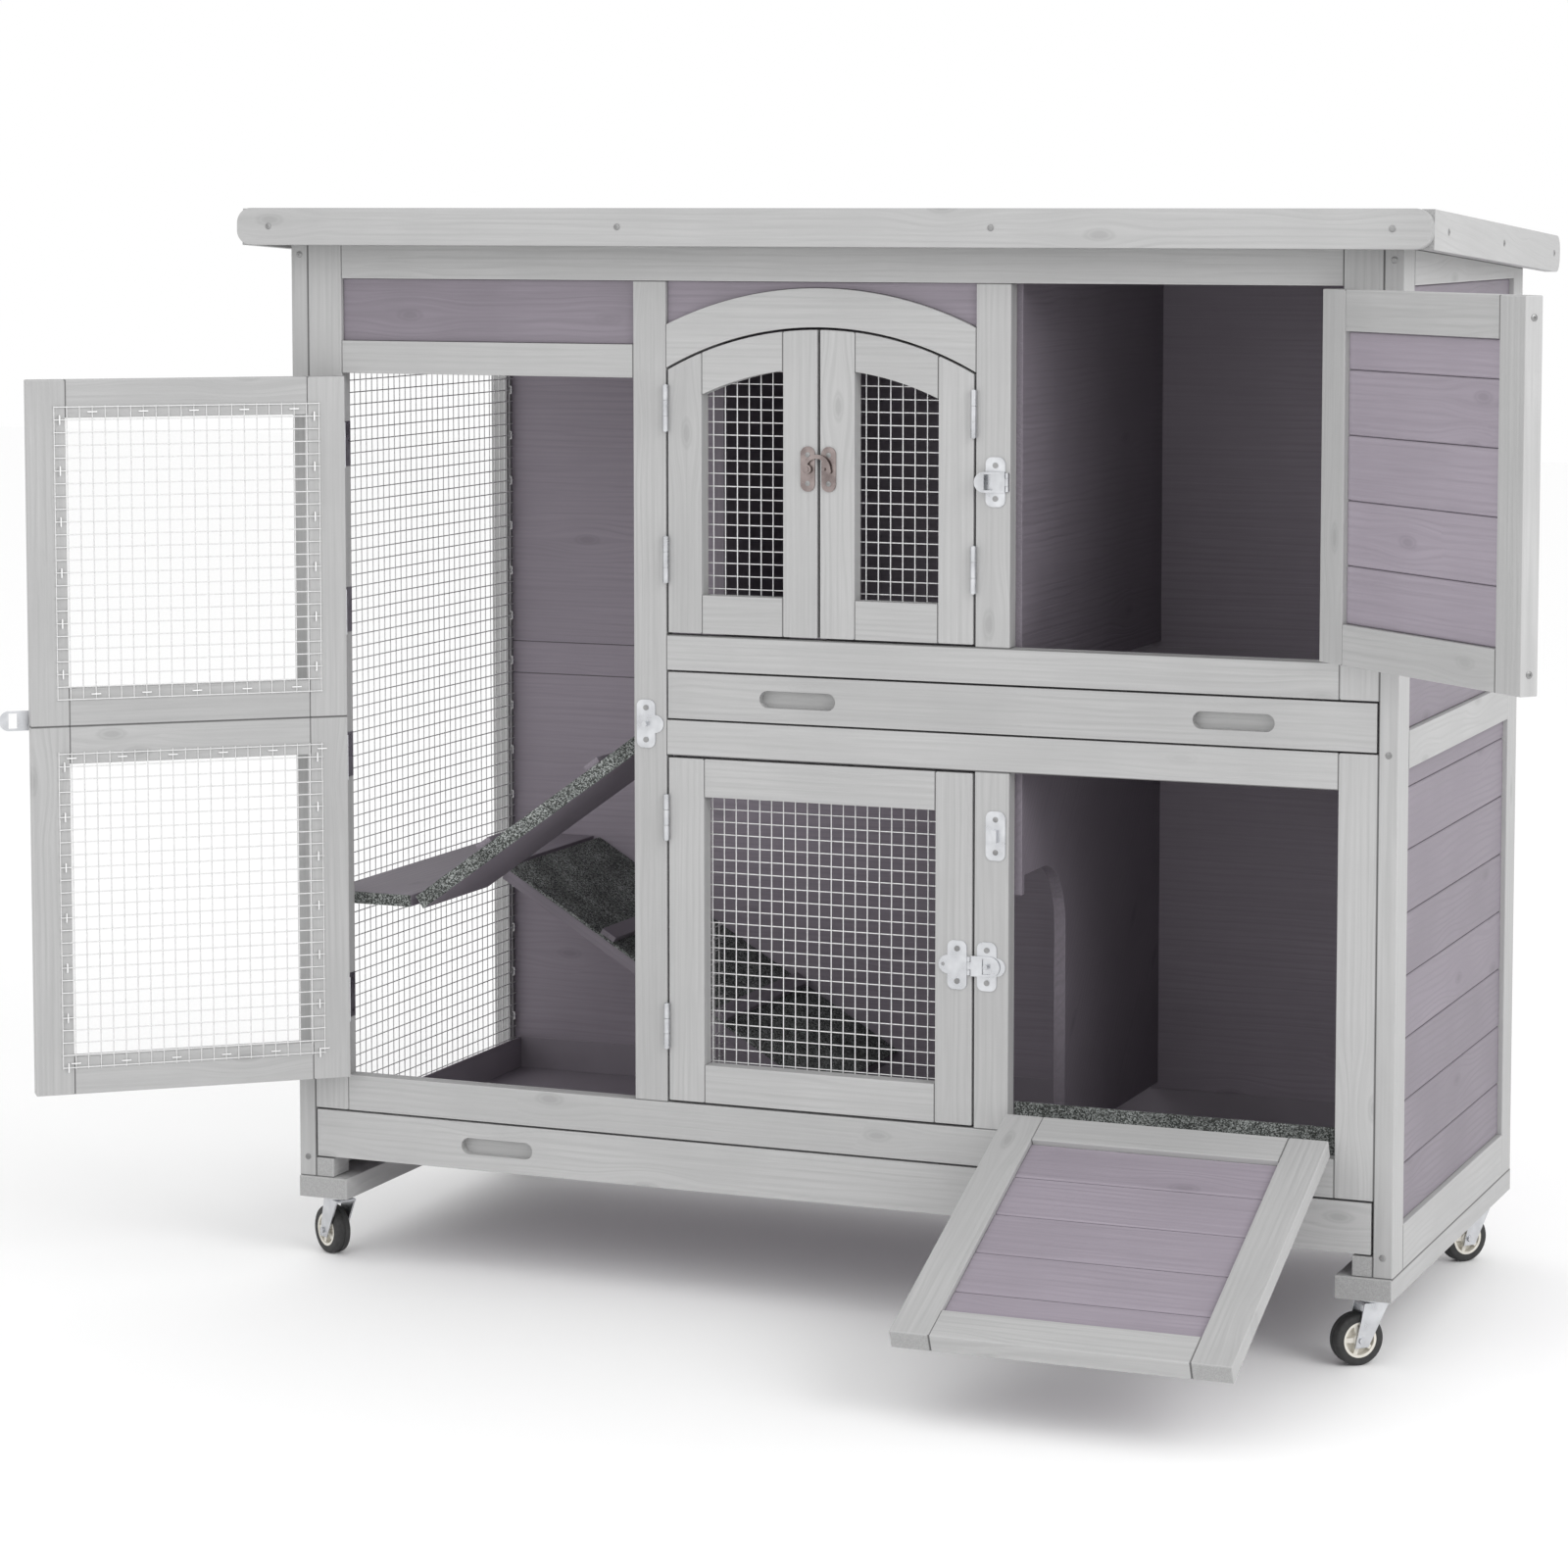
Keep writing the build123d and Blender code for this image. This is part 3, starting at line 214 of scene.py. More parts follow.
def grain_axes(points, faces):
    """Length, width and thickness directions of a board, from its largest flat faces."""
    areas = {}
    for face in faces:
        cross = (points[face[1]] - points[face[0]]).cross(points[face[2]] - points[face[0]])
        if cross.length < least_area:
            continue
        normal = cross.normalized()
        key = max(tuple(round(c * side, 2) for c in normal) for side in (1, -1))
        total, kept = areas.get(key, (0.0, normal))
        areas[key] = (total + cross.length, kept)
    ranked = sorted(areas.values(), key=lambda item: -item[0])
    thick = ranked[0][1].copy()
    best, along = -1.0, None
    for _, normal in ranked[1:]:
        if abs(normal.dot(thick)) > square_limit:
            continue
        reach = [p.dot(normal) for p in points]
        if max(reach) - min(reach) > best:
            best, along = max(reach) - min(reach), normal.copy()
    if along is None:
        along = thick.orthogonal().normalized()
    return along, thick.cross(along).normalized(), thick


def eased_piece(points, faces, arris):
    """A solid with whole flat faces and its sharp edges rounded off; the rounded faces are marked."""
    shape = bmesh.new()
    mark = shape.faces.layers.int.new("eased")
    corners = [shape.verts.new(p) for p in points]
    for face in faces:
        try:
            shape.faces.new([corners[i] for i in face])
        except ValueError:
            continue
    bmesh.ops.dissolve_limit(shape, angle_limit=flat_angle, verts=shape.verts, edges=shape.edges)
    sharp = [e for e in shape.edges if len(e.link_faces) == 2 and e.calc_face_angle(0.0) > sharp_angle]
    if arris and sharp:
        rounded = bmesh.ops.bevel(shape, geom=sharp, offset=arris, segments=2, profile=0.6, affect="EDGES",
                                  clamp_overlap=True)
        for face in rounded["faces"]:
            face[mark] = 1
    return shape, mark


wooden_slots = ("frame_paint", "board_paint")
neighbours = {}
for body in set(body_of.values()):
    near_points, near_faces, owners = [], [], []
    for node in nodes:
        if body_of.get(node) != body or slot_of.get(node) not in wooden_slots:
            continue
        for number, (points, triangles) in enumerate(solids_of(node)):
            near_faces.extend([[len(near_points) + i for i in face] for face in triangles])
            near_points.extend(points)
            owners.extend([(node, number)] * len(triangles))
    if near_faces:
        neighbours[body] = (BVHTree.FromPolygons(near_points, near_faces), owners)


def joint_shade_mask(place, node, number):
    """1 where another wooden piece of the same body lies within reach of a point on a piece, else 0; it masks the
    painted shade in joints.
    """
    if body_of[node] not in neighbours:
        return 0.0
    tree, owners = neighbours[body_of[node]]
    hits = tree.find_nearest_range(place, joint_reach)
    return float(any(owners[hit[2]] != (node, number) for hit in hits))


def worked_mesh(name, node, pieces, arris, surface):
    """One mesh of eased pieces; each face knows its grain place, tone, end grain, and the rounded arrises that get
    a painted highlight and, at joints, painted shade.
    """
    verts, faces = [], []
    grain, tone, end, arris_highlight, joint = [], [], [], [], []
    for number, (points, triangles) in enumerate(pieces):
        along, across, thick = grain_axes(points, triangles)
        middle = sum(points, Vector()) / len(points)
        shift = Vector([draw.uniform(0, pattern_span) for _ in range(3)])
        shade = draw.uniform(-1, 1)
        shape, mark = eased_piece(points, triangles, arris)
        shape.verts.index_update()
        base = len(verts)
        for v in shape.verts:
            away = v.co - middle
            verts.append(v.co.copy())
            grain.append((away.dot(along) + shift.x, away.dot(across) + shift.y, away.dot(thick) + shift.z))
        for f in shape.faces:
            faces.append([base + v.index for v in f.verts])
            tone.append(shade)
            end.append(float(abs(f.normal.dot(along)) > end_grain_limit))
            # Every rounded face is masked for a painted highlight.
            arris_highlight.append(float(f[mark]))
            # Rounded faces where two pieces meet are masked for painted shade, standing in for the shadow in the V
            # between them.
            joint.append(joint_shade_mask(f.calc_center_median(), node, number) if f[mark] else 0.0)
        shape.free()
    mesh = bpy.data.meshes.new(name)
    mesh.from_pydata(verts, [], faces)
    place = mesh.attributes.new("grain", "FLOAT_VECTOR", "POINT")
    place.data.foreach_set("vector", [c for g in grain for c in g])
    for label, values in (("tone", tone), ("end", end), ("arris_highlight", arris_highlight), ("joint", joint)):
        mesh.attributes.new(label, "FLOAT", "FACE").data.foreach_set("value", values)
    mesh.materials.append(surface)
    return mesh


def finished(name, mesh, node, slot=None):
    """Puts a mesh in the scene on its node's body; it replaces the node, which it hides, unless a slot name is
    passed.
    """
    piece = bpy.data.objects.new(name, mesh)
    bpy.context.scene.collection.objects.link(piece)
    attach(piece, body_of[node])
    if slot is None:
        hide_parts(node)
    return piece


def worked(node, surface, arris):
    """Makes a CAD node's pieces in worked material."""
    name = node + "_worked"
    return finished(name, worked_mesh(name, node, solids_of(node), arris, surface), node)


def math_node(tree, operation, first, second):
    """The result of one sum on two values."""
    return put(tree, "ShaderNodeMath", {"operation": operation}, i0=first, i1=second).outputs[0]


def spread(tree, value, low, high, first, last):
    """A value carried smoothly from one range to another."""
    made = put(tree, "ShaderNodeMapRange", {"interpolation_type": "SMOOTHSTEP"}, i0=value, i1=low, i2=high,
               i3=first, i4=last)
    return made.outputs[0]


def shaded(paint, factor):
    """A colour made darker or lighter."""
    return tuple(min(1.0, c * factor) for c in paint[:3]) + (1.0,)


knot_cells = (5.5, 14.0, 0.0)
knot_push = (0.0, -0.055, 0.0)
ring_stretch = 0.10
ring_slant = 0.6
ring_scale = 42.0
grain_stretch = (5.0, 330.0, 330.0)
cloud_scale = 9.0
pore_scale = 900.0


def wood_figure(tree, place):
    """Year rings that bend round knots, and the grain; returns grain, rings, knot distance, knot presence."""
    cells = put(tree, "ShaderNodeMapping", Vector=place, Scale=knot_cells).outputs[0]
    knots = put(tree, "ShaderNodeTexVoronoi", {"voronoi_dimensions": "2D"}, Vector=cells, Scale=1.0)
    distance = knots.outputs["Distance"]
    chance = put(tree, "ShaderNodeSeparateColor", i0=knots.outputs["Color"]).outputs[0]
    present = spread(tree, chance, 0.64, 0.68, 0.0, 1.0)
    near = math_node(tree, "MULTIPLY", spread(tree, distance, 0.06, 0.42, 1.0, 0.0), present)
    centre = knots.outputs["Position"]
    away = put(tree, "ShaderNodeVectorMath", {"operation": "SUBTRACT"}, i0=cells, i1=centre)
    sideways = put(tree, "ShaderNodeVectorMath", {"operation": "MULTIPLY"}, i0=away.outputs[0], i1=knot_push)
    pushed = put(tree, "ShaderNodeVectorMath", {"operation": "SCALE"}, i0=sideways.outputs[0], Scale=near)
    bent = put(tree, "ShaderNodeVectorMath", {"operation": "ADD"}, i0=place, i1=pushed.outputs[0]).outputs[0]
    split = put(tree, "ShaderNodeSeparateXYZ", i0=bent)
    lengthwise = math_node(tree, "MULTIPLY", split.outputs[0], ring_stretch)
    depthwise = math_node(tree, "MULTIPLY", split.outputs[2], ring_slant)
    slanted = math_node(tree, "ADD", split.outputs[1], depthwise)
    lined = put(tree, "ShaderNodeCombineXYZ", i0=lengthwise, i1=slanted, i2=split.outputs[2]).outputs[0]
    rings = put(tree, "ShaderNodeTexWave", {"bands_direction": "Y", "wave_profile": "SIN"}, Vector=lined,
                Scale=ring_scale, Distortion=9.0, Detail=2.0)
    rings.inputs["Detail Scale"].default_value = 0.9
    late_wood = spread(tree, rings.outputs["Fac"], 0.45, 1.0, 0.0, 1.0)
    stretched = put(tree, "ShaderNodeMapping", Vector=bent, Scale=grain_stretch).outputs[0]
    fine = put(tree, "ShaderNodeTexNoise", Vector=stretched, Scale=1.0, Detail=4.0, Roughness=0.65).outputs[0]
    return fine, late_wood, distance, present


def painted_timber(name, paint, contrast, grain_depth, roughness):
    """Thin paint over softwood: rings, knots, fine grain, end grain, a painted highlight on rounded arrises and
    painted shade in the joints.
    """
    made, tree, shader = material(name, roughness=roughness, specular=0.3)
    place = put(tree, "ShaderNodeAttribute", {"attribute_name": "grain"}).outputs["Vector"]
    flags = {label: put(tree, "ShaderNodeAttribute", {"attribute_name": label}).outputs["Fac"]
             for label in ("tone", "end", "arris_highlight", "joint")}
    fine, late_wood, distance, present = wood_figure(tree, place)
    cloud = put(tree, "ShaderNodeTexNoise", Vector=place, Scale=cloud_scale, Detail=3.0).outputs[0]
    value = spread(tree, fine, 0.25, 0.75, 1.0 - contrast, 1.0 + contrast)
    strength = spread(tree, cloud, 0.38, 0.66, 0.12, 0.8)
    ring_shade = math_node(tree, "MULTIPLY", late_wood, math_node(tree, "MULTIPLY", strength, contrast * 1.5))
    value = math_node(tree, "SUBTRACT", value, ring_shade)
    value = math_node(tree, "ADD", value, spread(tree, cloud, 0.3, 0.7, -contrast * 0.5, contrast * 0.9))
    value = math_node(tree, "ADD", value, math_node(tree, "MULTIPLY", flags["tone"], contrast * 0.6))
    shade = put(tree, "ShaderNodeCombineColor", i0=value, i1=value, i2=value).outputs[0]
    colour = blend_colour(tree, 1.0, paint, shade, "MULTIPLY")
    ragged = math_node(tree, "MULTIPLY", math_node(tree, "SUBTRACT", fine, 0.5), 0.05)
    radius = math_node(tree, "ADD", distance, ragged)
    core = math_node(tree, "MULTIPLY", spread(tree, radius, 0.03, 0.075, 0.42, 0.0), present)
    colour = blend_colour(tree, core, colour, shaded(paint, 0.6))
    rim = math_node(tree, "MULTIPLY", spread(tree, radius, 0.055, 0.07, 0.0, 1.0),
                    spread(tree, radius, 0.07, 0.10, 1.0, 0.0))
    rim = math_node(tree, "MULTIPLY", math_node(tree, "MULTIPLY", rim, present), 0.22)
    colour = blend_colour(tree, rim, colour, shaded(paint, 0.55))
    pores = put(tree, "ShaderNodeTexNoise", Vector=place, Scale=pore_scale, Detail=1.0).outputs[0]
    end_dark = math_node(tree, "MULTIPLY", flags["end"], spread(tree, pores, 0.3, 0.7, 0.15, 0.6))
    # End grain is darkened; rounded arrises are lightened as a painted highlight, and those at joints are darkened
    # as painted shade.
    for amount, tint in ((end_dark, 0.6), (math_node(tree, "MULTIPLY", flags["arris_highlight"], 0.3), 1.15),
                         (math_node(tree, "MULTIPLY", flags["joint"], 0.8), 0.3)):
        colour = blend_colour(tree, amount, colour, shaded(paint, tint))
    tree.links.new(colour, shader.inputs["Base Color"])
    height = math_node(tree, "SUBTRACT", fine, math_node(tree, "MULTIPLY", late_wood, 0.35))
    raise_surface(tree, shader, height, 0.45, grain_depth)
    sheen = spread(tree, fine, 0.2, 0.8, roughness - 0.06, roughness + 0.12)
    tree.links.new(sheen, shader.inputs["Roughness"])
    return made


grey_timber = painted_timber("grey_painted_timber", frame_grey, 0.055, 0.0004, 0.5)
for node in ("side_frames", "front_posts", "front_rails", "back_frame", "foot_planks", "tray_runners"):
    worked(node, grey_timber, timber_arris)

# ============================================================ arched head over the double doors
# One board band-sawn to two arcs of a common centre. It is sanded rounder than the frame's straight
# pieces, and painted like them.
header_arris = 0.0009
worked("arch_header", grey_timber, header_arris)

# ============================================================ boarding: header, spandrels, walls
# Thin softwood boards with V-joints, let into the frame and painted mauve grey before assembly, so the
# paint stops cleanly at the frame.
board_arris = 0.0006
mauve = (0.225, 0.201, 0.233, 1.0)
mauve_boards = painted_timber("mauve_painted_boards", mauve, 0.08, 0.0005, 0.52)
# A copy of the mauve paint, 1.4 times lighter: on the back boards it is painted light that lifts the shaded inside
# of the house. The door boards take it too.
lightened_mauve_boards = painted_timber("lightened_mauve_painted_boards", shaded(mauve, 1.4), 0.06, 0.0004, 0.52)
for node in ("front_panels", "side_boards", "partitions"):
    worked(node, mauve_boards, board_arris)
# The back boards take the lighter copy as painted light for the shade inside the house.
worked("back_boards", lightened_mauve_boards, board_arris)

# ============================================================ welded mesh
# Half-inch square mesh of galvanised wire, spot-welded at every crossing and stapled behind its frame.
# Each wire follows the centre line of its bar in the frame model.
wire_radius = 0.00062
wire_sides = 8


def geometry_tree(name, sockets):
    """A Geometry Nodes tree with a Geometry input, the named inputs and a Geometry output."""
    tree = bpy.data.node_groups.new(name, "GeometryNodeTree")
    tree.interface.new_socket("Geometry", in_out="INPUT", socket_type="NodeSocketGeometry")
    for label, kind in sockets:
        tree.interface.new_socket(label, in_out="INPUT", socket_type=kind)
    tree.interface.new_socket("Geometry", in_out="OUTPUT", socket_type="NodeSocketGeometry")
    return tree, tree.nodes.new("NodeGroupInput"), tree.nodes.new("NodeGroupOutput")


def run_tree(name, mesh, tree, values):
    """Runs a tree on a mesh and returns the plain mesh that it makes."""
    carrier = bpy.data.objects.new(name, mesh)
    bpy.context.scene.collection.objects.link(carrier)
    modifier = carrier.modifiers.new("make", "NODES")
    modifier.node_group = tree
    for item in tree.interface.items_tree:
        if item.in_out == "INPUT" and item.name in values:
            modifier[item.identifier] = values[item.name]
    graph = bpy.context.evaluated_depsgraph_get()
    made = bpy.data.meshes.new_from_object(carrier.evaluated_get(graph))
    bpy.data.objects.remove(carrier)
    made.name = name
    return made


wire_tree, wire_in, wire_out = geometry_tree("drawn_wire", [
    ("Radius", "NodeSocketFloat"), ("Sides", "NodeSocketInt"), ("Surface", "NodeSocketMaterial")])
line = put(wire_tree, "GeometryNodeMeshToCurve", Mesh=wire_in.outputs["Geometry"])
ring = put(wire_tree, "GeometryNodeCurvePrimitiveCircle", Resolution=wire_in.outputs["Sides"],
           Radius=wire_in.outputs["Radius"])
tube = put(wire_tree, "GeometryNodeCurveToMesh", Curve=line.outputs[0])
wire_tree.links.new(ring.outputs[0], tube.inputs["Profile Curve"])
tube.inputs["Fill Caps"].default_value = True
solid_wire = put(wire_tree, "GeometryNodeRealizeInstances", Geometry=tube.outputs[0])
wire_end = put(wire_tree, "GeometryNodeSetMaterial", Geometry=solid_wire.outputs[0],
               Material=wire_in.outputs["Surface"])
wire_tree.links.new(wire_end.outputs[0], wire_out.inputs[0])

galvanised, _, _, _ = clouded(
    "galvanised_wire", grey(0.62), grey(0.84), 420.0, 3.0, metallic=0.3, roughness=0.45)


def centre_line(points):
    """The two ends of a straight bar's centre line."""
    middle = sum(points, Vector()) / len(points)
    far = max(points, key=lambda p: (p - middle).length)
    other = max(points, key=lambda p: (p - far).length)
    near_far = [p for p in points if (p - far).length < (p - other).length]
    near_other = [p for p in points if (p - far).length >= (p - other).length]
    return sum(near_far, Vector()) / len(near_far), sum(near_other, Vector()) / len(near_other)


mesh_ends = {}
for node in ("side_mesh", "left_door_mesh", "arch_door_left_mesh", "arch_door_right_mesh", "lower_door_mesh"):
    ends = [end for points, _ in solids_of(node) for end in centre_line(points)]
    mesh_ends[node] = ends
    lines = bpy.data.meshes.new(node + "_lines")
    lines.from_pydata(ends, [(i, i + 1) for i in range(0, len(ends), 2)], [])
    wires = run_tree(node + "_wires", lines, wire_tree,
                     {"Radius": wire_radius, "Sides": wire_sides, "Surface": galvanised})
    finished(node + "_wires", wires, node)

# ============================================================ landing, ramps and cleats
# Plain boards painted with the walls; the cleats give the animals a foothold and are pinned on through
# the felt.
for node in ("landing_platform", "upper_ramp", "lower_ramp", "ramp_cleats"):
    worked(node, mauve_boards, board_arris)

# ============================================================ grit felt on the ramps and the sill
# Bitumen felt faced with crushed slate, cut from a roll and tacked down. It is cut into small squares
# here, so that its faces and edges can be left a little rough.
grit_scale = 900.0
grit_relief = 0.0006
felt_step = 0.006
felt_lift = 0.0005
cut_rounds = 9
place_mix = Vector((1.0, 7.0, 13.0))
places_per_metre = 4500.0


def slate_felt(name, dark, pale, scale, relief):
    """Crushed stone in bitumen: dark ground with pale and greenish grains standing out of it."""
    made, tree, shader = material(name, roughness=0.92, specular=0.25)
    place = put(tree, "ShaderNodeTexCoord").outputs["Object"]
    grains = put(tree, "ShaderNodeTexVoronoi", Vector=place, Scale=scale)
    pick = put(tree, "ShaderNodeSeparateColor", i0=grains.outputs["Color"])
    stones = put(tree, "ShaderNodeValToRGB", Fac=pick.outputs[0])
    stones.color_ramp.elements[0].color = dark
    stones.color_ramp.elements[1].color = pale
    stones.color_ramp.elements[0].position = 0.35
    stones.color_ramp.elements[1].position = 0.97
    cloud = put(tree, "ShaderNodeTexNoise", Vector=place, Scale=26.0, Detail=4.0)
    worn_patch = put(tree, "ShaderNodeMapRange", i0=cloud.outputs[0], i1=0.35, i2=0.7, i3=0.75, i4=1.25)
    patch = put(tree, "ShaderNodeCombineColor", i0=worn_patch.outputs[0], i1=worn_patch.outputs[0],
                i2=worn_patch.outputs[0])
    colour = blend_colour(tree, 1.0, stones.outputs[0], patch.outputs[0], "MULTIPLY")
    tree.links.new(colour, shader.inputs["Base Color"])
    raise_surface(tree, shader, pick.outputs[1], 0.9, relief)
    return made


def felted(node, surface, step, lift):
    """Felt pieces cut into small squares, each corner sunk by a part of the lift that its place decides."""
    verts, faces = [], []
    for points, triangles in solids_of(node):
        shape, _ = eased_piece(points, triangles, 0)
        for _ in range(cut_rounds):
            long_edges = [e for e in shape.edges if e.calc_length() > step * 2]
            if not long_edges:
                break
            bmesh.ops.subdivide_edges(shape, edges=long_edges, cuts=1, use_grid_fill=True)
        bmesh.ops.triangulate(shape, faces=[f for f in shape.faces if len(f.verts) > 4])
        shape.normal_update()
        shape.verts.index_update()
        base = len(verts)
        for v in shape.verts:
            rough = random.Random(round(v.co.dot(place_mix) * places_per_metre)).uniform(-1, 0)
            verts.append(v.co + v.normal * lift * rough)
        faces.extend([[base + v.index for v in f.verts] for f in shape.faces])
        shape.free()
    mesh = bpy.data.meshes.new(node + "_cut")
    mesh.from_pydata(verts, [], faces)
    mesh.materials.append(surface)
    finished(node + "_cut", mesh, node)


ramp_grit = slate_felt("ramp_grit_felt", (0.048, 0.052, 0.049, 1.0), (0.36, 0.38, 0.37, 1.0),
                       grit_scale, grit_relief)
felted("felt_mats", ramp_grit, felt_step, felt_lift)

# ============================================================ roof
# A deck of boards on four battens, covered with slate-faced felt and edged with painted trim boards
# whose ends are rounded over.
roof_grit_scale = 420.0
roof_grit_relief = 0.0009
roof_felt_step = 0.02
roof_felt_lift = 0.0004
trim_arris = 0.002
worked("roof_battens", grey_timber, timber_arris)
worked("roof_deck", mauve_boards, board_arris)
roof_slate = slate_felt("roof_slate_felt", (0.06, 0.075, 0.062, 1.0), (0.30, 0.34, 0.31, 1.0),
                        roof_grit_scale, roof_grit_relief)
felted("roof_felt", roof_slate, roof_felt_step, roof_felt_lift)
worked("roof_trims", grey_timber, trim_arris)

# ============================================================ trays
# Each tray has a painted timber front with two routed finger slots, and a folded steel pan in dark
# mauve enamel that slides on the runners.
tray_front_arris = 0.0012
sheet_arris = 0.0004
for node in ("upper_tray_front", "lower_tray_front"):
    worked(node, grey_timber, tray_front_arris)
enamel, enamel_tree, enamel_shader, _ = clouded(
    "pan_enamel", (0.25, 0.225, 0.258, 1.0), (0.31, 0.28, 0.32, 1.0), 18.0, 5.0, roughness=0.4, specular=0.45)
enamel_place = put(enamel_tree, "ShaderNodeTexCoord").outputs["Object"]
orange_peel = put(enamel_tree, "ShaderNodeTexNoise", Vector=enamel_place, Scale=350.0, Detail=2.0).outputs[0]
raise_surface(enamel_tree, enamel_shader, orange_peel, 0.15, 0.0003)
for node in ("upper_tray_pan", "lower_tray_pan"):
    worked(node, enamel, sheet_arris)

# ============================================================ doors
# Stiles and rails butt-jointed like the frame; the mesh doors carry their mesh behind the frame, and the
# two boarded doors have V-jointed boards let in.
doors = ("left_door", "arch_door_left", "arch_door_right", "lower_door", "right_door", "ramp_door")
for door in doors:
    worked(door + "_frame", grey_timber, timber_arris)
for door in ("right_door", "ramp_door"):
    worked(door + "_boards", lightened_mauve_boards, board_arris)

# ============================================================ screws
# Zinc-plated cross-head screws: the frame's, the roof trim's and those of every plate. One head is
# modelled and set at each place that the frame model gives.
screw_sides = 24
head_profile = ((1.0, 0.0), (0.98, 0.32), (0.86, 0.62), (0.62, 0.86))
cross_half = 0.11
cross_reach = 0.42
cross_depth = 0.5


def screw_head_mesh():
    """A pan head of unit radius and unit height, with a cross recess."""
    shape = bmesh.new()
    rings = []
    for radius, height in head_profile:
        ring_verts = []
        for i in range(screw_sides):
            turn = 2 * math.pi * i / screw_sides
            ring_verts.append(shape.verts.new((radius * math.cos(turn), radius * math.sin(turn), height)))
        rings.append(ring_verts)
    for low, high in zip(rings, rings[1:]):
        for i in range(screw_sides):
            j = (i + 1) % screw_sides
            shape.faces.new((low[i], low[j], high[j], high[i]))
    shape.faces.new(list(reversed(rings[0])))
    outline = []
    for quarter in range(4):
        turn = Matrix.Rotation(quarter * math.pi / 2, 3, "Z")
        for x, y in ((cross_half, -cross_half), (cross_reach, -cross_half), (cross_reach, cross_half)):
            outline.append(turn @ Vector((x, y, 1.0)))
    top = [shape.verts.new(p) for p in outline]
    bottom = [shape.verts.new(p - Vector((0, 0, cross_depth))) for p in outline]
    count = len(top)
    cross_edges = []
    for i in range(count):
        j = (i + 1) % count
        shape.faces.new((top[i], top[j], bottom[j], bottom[i]))
        cross_edges.append(shape.edges.get((top[i], top[j])))
    shape.faces.new(bottom)
    rim = rings[-1]
    rim_edges = [shape.edges.get(pair) for pair in zip(rim, rim[1:] + rim[:1])]
    bmesh.ops.triangle_fill(shape, edges=rim_edges + cross_edges, use_beauty=True)
    bmesh.ops.recalc_face_normals(shape, faces=shape.faces)
    mesh = bpy.data.meshes.new("screw_head")
    shape.to_mesh(mesh)
    shape.free()
    return mesh


fixing_tree, fixing_in, fixing_out = geometry_tree("set_fixings", [
    ("Fixing", "NodeSocketObject"), ("Surface", "NodeSocketMaterial")])
fixing_model = put(fixing_tree, "GeometryNodeObjectInfo", Object=fixing_in.outputs["Fixing"])
turns = put(fixing_tree, "GeometryNodeInputNamedAttribute", {"data_type": "FLOAT_VECTOR"}, Name="turn")
sizes = put(fixing_tree, "GeometryNodeInputNamedAttribute", {"data_type": "FLOAT_VECTOR"}, Name="size")
turned = put(fixing_tree, "FunctionNodeEulerToRotation", i0=turns.outputs[0])
placed = put(fixing_tree, "GeometryNodeInstanceOnPoints", Points=fixing_in.outputs["Geometry"],
             Instance=fixing_model.outputs["Geometry"], Rotation=turned.outputs[0], Scale=sizes.outputs[0])
loose = put(fixing_tree, "GeometryNodeRealizeInstances", Geometry=placed.outputs[0])
dressed = put(fixing_tree, "GeometryNodeSetMaterial", Geometry=loose.outputs[0],
              Material=fixing_in.outputs["Surface"])
fixing_tree.links.new(dressed.outputs[0], fixing_out.inputs[0])


def set_fixings(name, fixing_mesh, places, surface):
    """Copies of one fixing at (point, rotation matrix, size) places, as a plain mesh."""
    master = bpy.data.objects.new(name + "_master", fixing_mesh)
    bpy.context.scene.collection.objects.link(master)
    points = bpy.data.meshes.new(name + "_points")
    points.from_pydata([p for p, _, _ in places], [], [])
    turn = points.attributes.new("turn", "FLOAT_VECTOR", "POINT")
    turn.data.foreach_set("vector", [c for _, m, _ in places for c in m.to_euler("XYZ")])
    size = points.attributes.new("size", "FLOAT_VECTOR", "POINT")
    size.data.foreach_set("vector", [c for _, _, s in places for c in s])
    made = run_tree(name, points, fixing_tree, {"Fixing": master, "Surface": surface})
    bpy.data.objects.remove(master)
    return made


scratch_stretch = (900.0, 900.0, 60.0)


def plated_steel(name, dark, pale, roughness):
    """Bright plated steel with faint clouding, fine scratches and duller patches."""
    made, tree, shader = material(name, metallic=1.0, roughness=roughness)
    place = put(tree, "ShaderNodeTexCoord").outputs["Object"]
    cloud = put(tree, "ShaderNodeTexNoise", Vector=place, Scale=70.0, Detail=3.0)
    ramp = put(tree, "ShaderNodeValToRGB", Fac=cloud.outputs[0])
    ramp.color_ramp.elements[0].color = dark
    ramp.color_ramp.elements[1].color = pale
    ramp.color_ramp.elements[0].position = 0.3
    ramp.color_ramp.elements[1].position = 0.7
    tree.links.new(ramp.outputs[0], shader.inputs["Base Color"])
    scratch_map = put(tree, "ShaderNodeMapping", Vector=place, Scale=scratch_stretch)
    scratch = put(tree, "ShaderNodeTexNoise", Vector=scratch_map.outputs[0], Scale=1.0, Detail=2.0)
    raise_surface(tree, shader, scratch.outputs[0], 0.12, 0.0002)
    dull = put(tree, "ShaderNodeMapRange", i0=cloud.outputs[0], i1=0.3, i2=0.7, i3=roughness - 0.07,
               i4=roughness + 0.12)
    tree.links.new(dull.outputs[0], shader.inputs["Roughness"])
    return made


bright_zinc = plated_steel("bright_zinc", (0.50, 0.51, 0.53, 1.0), (0.66, 0.67, 0.69, 1.0), 0.30)
bronzed_nickel = plated_steel("bronzed_nickel", (0.20, 0.165, 0.16, 1.0), (0.33, 0.28, 0.27, 1.0), 0.26)
screw_steel = plated_steel("screw_steel", grey(0.22), grey(0.36), 0.36)
head_limit = 0.0075
head_thickest = 0.0012


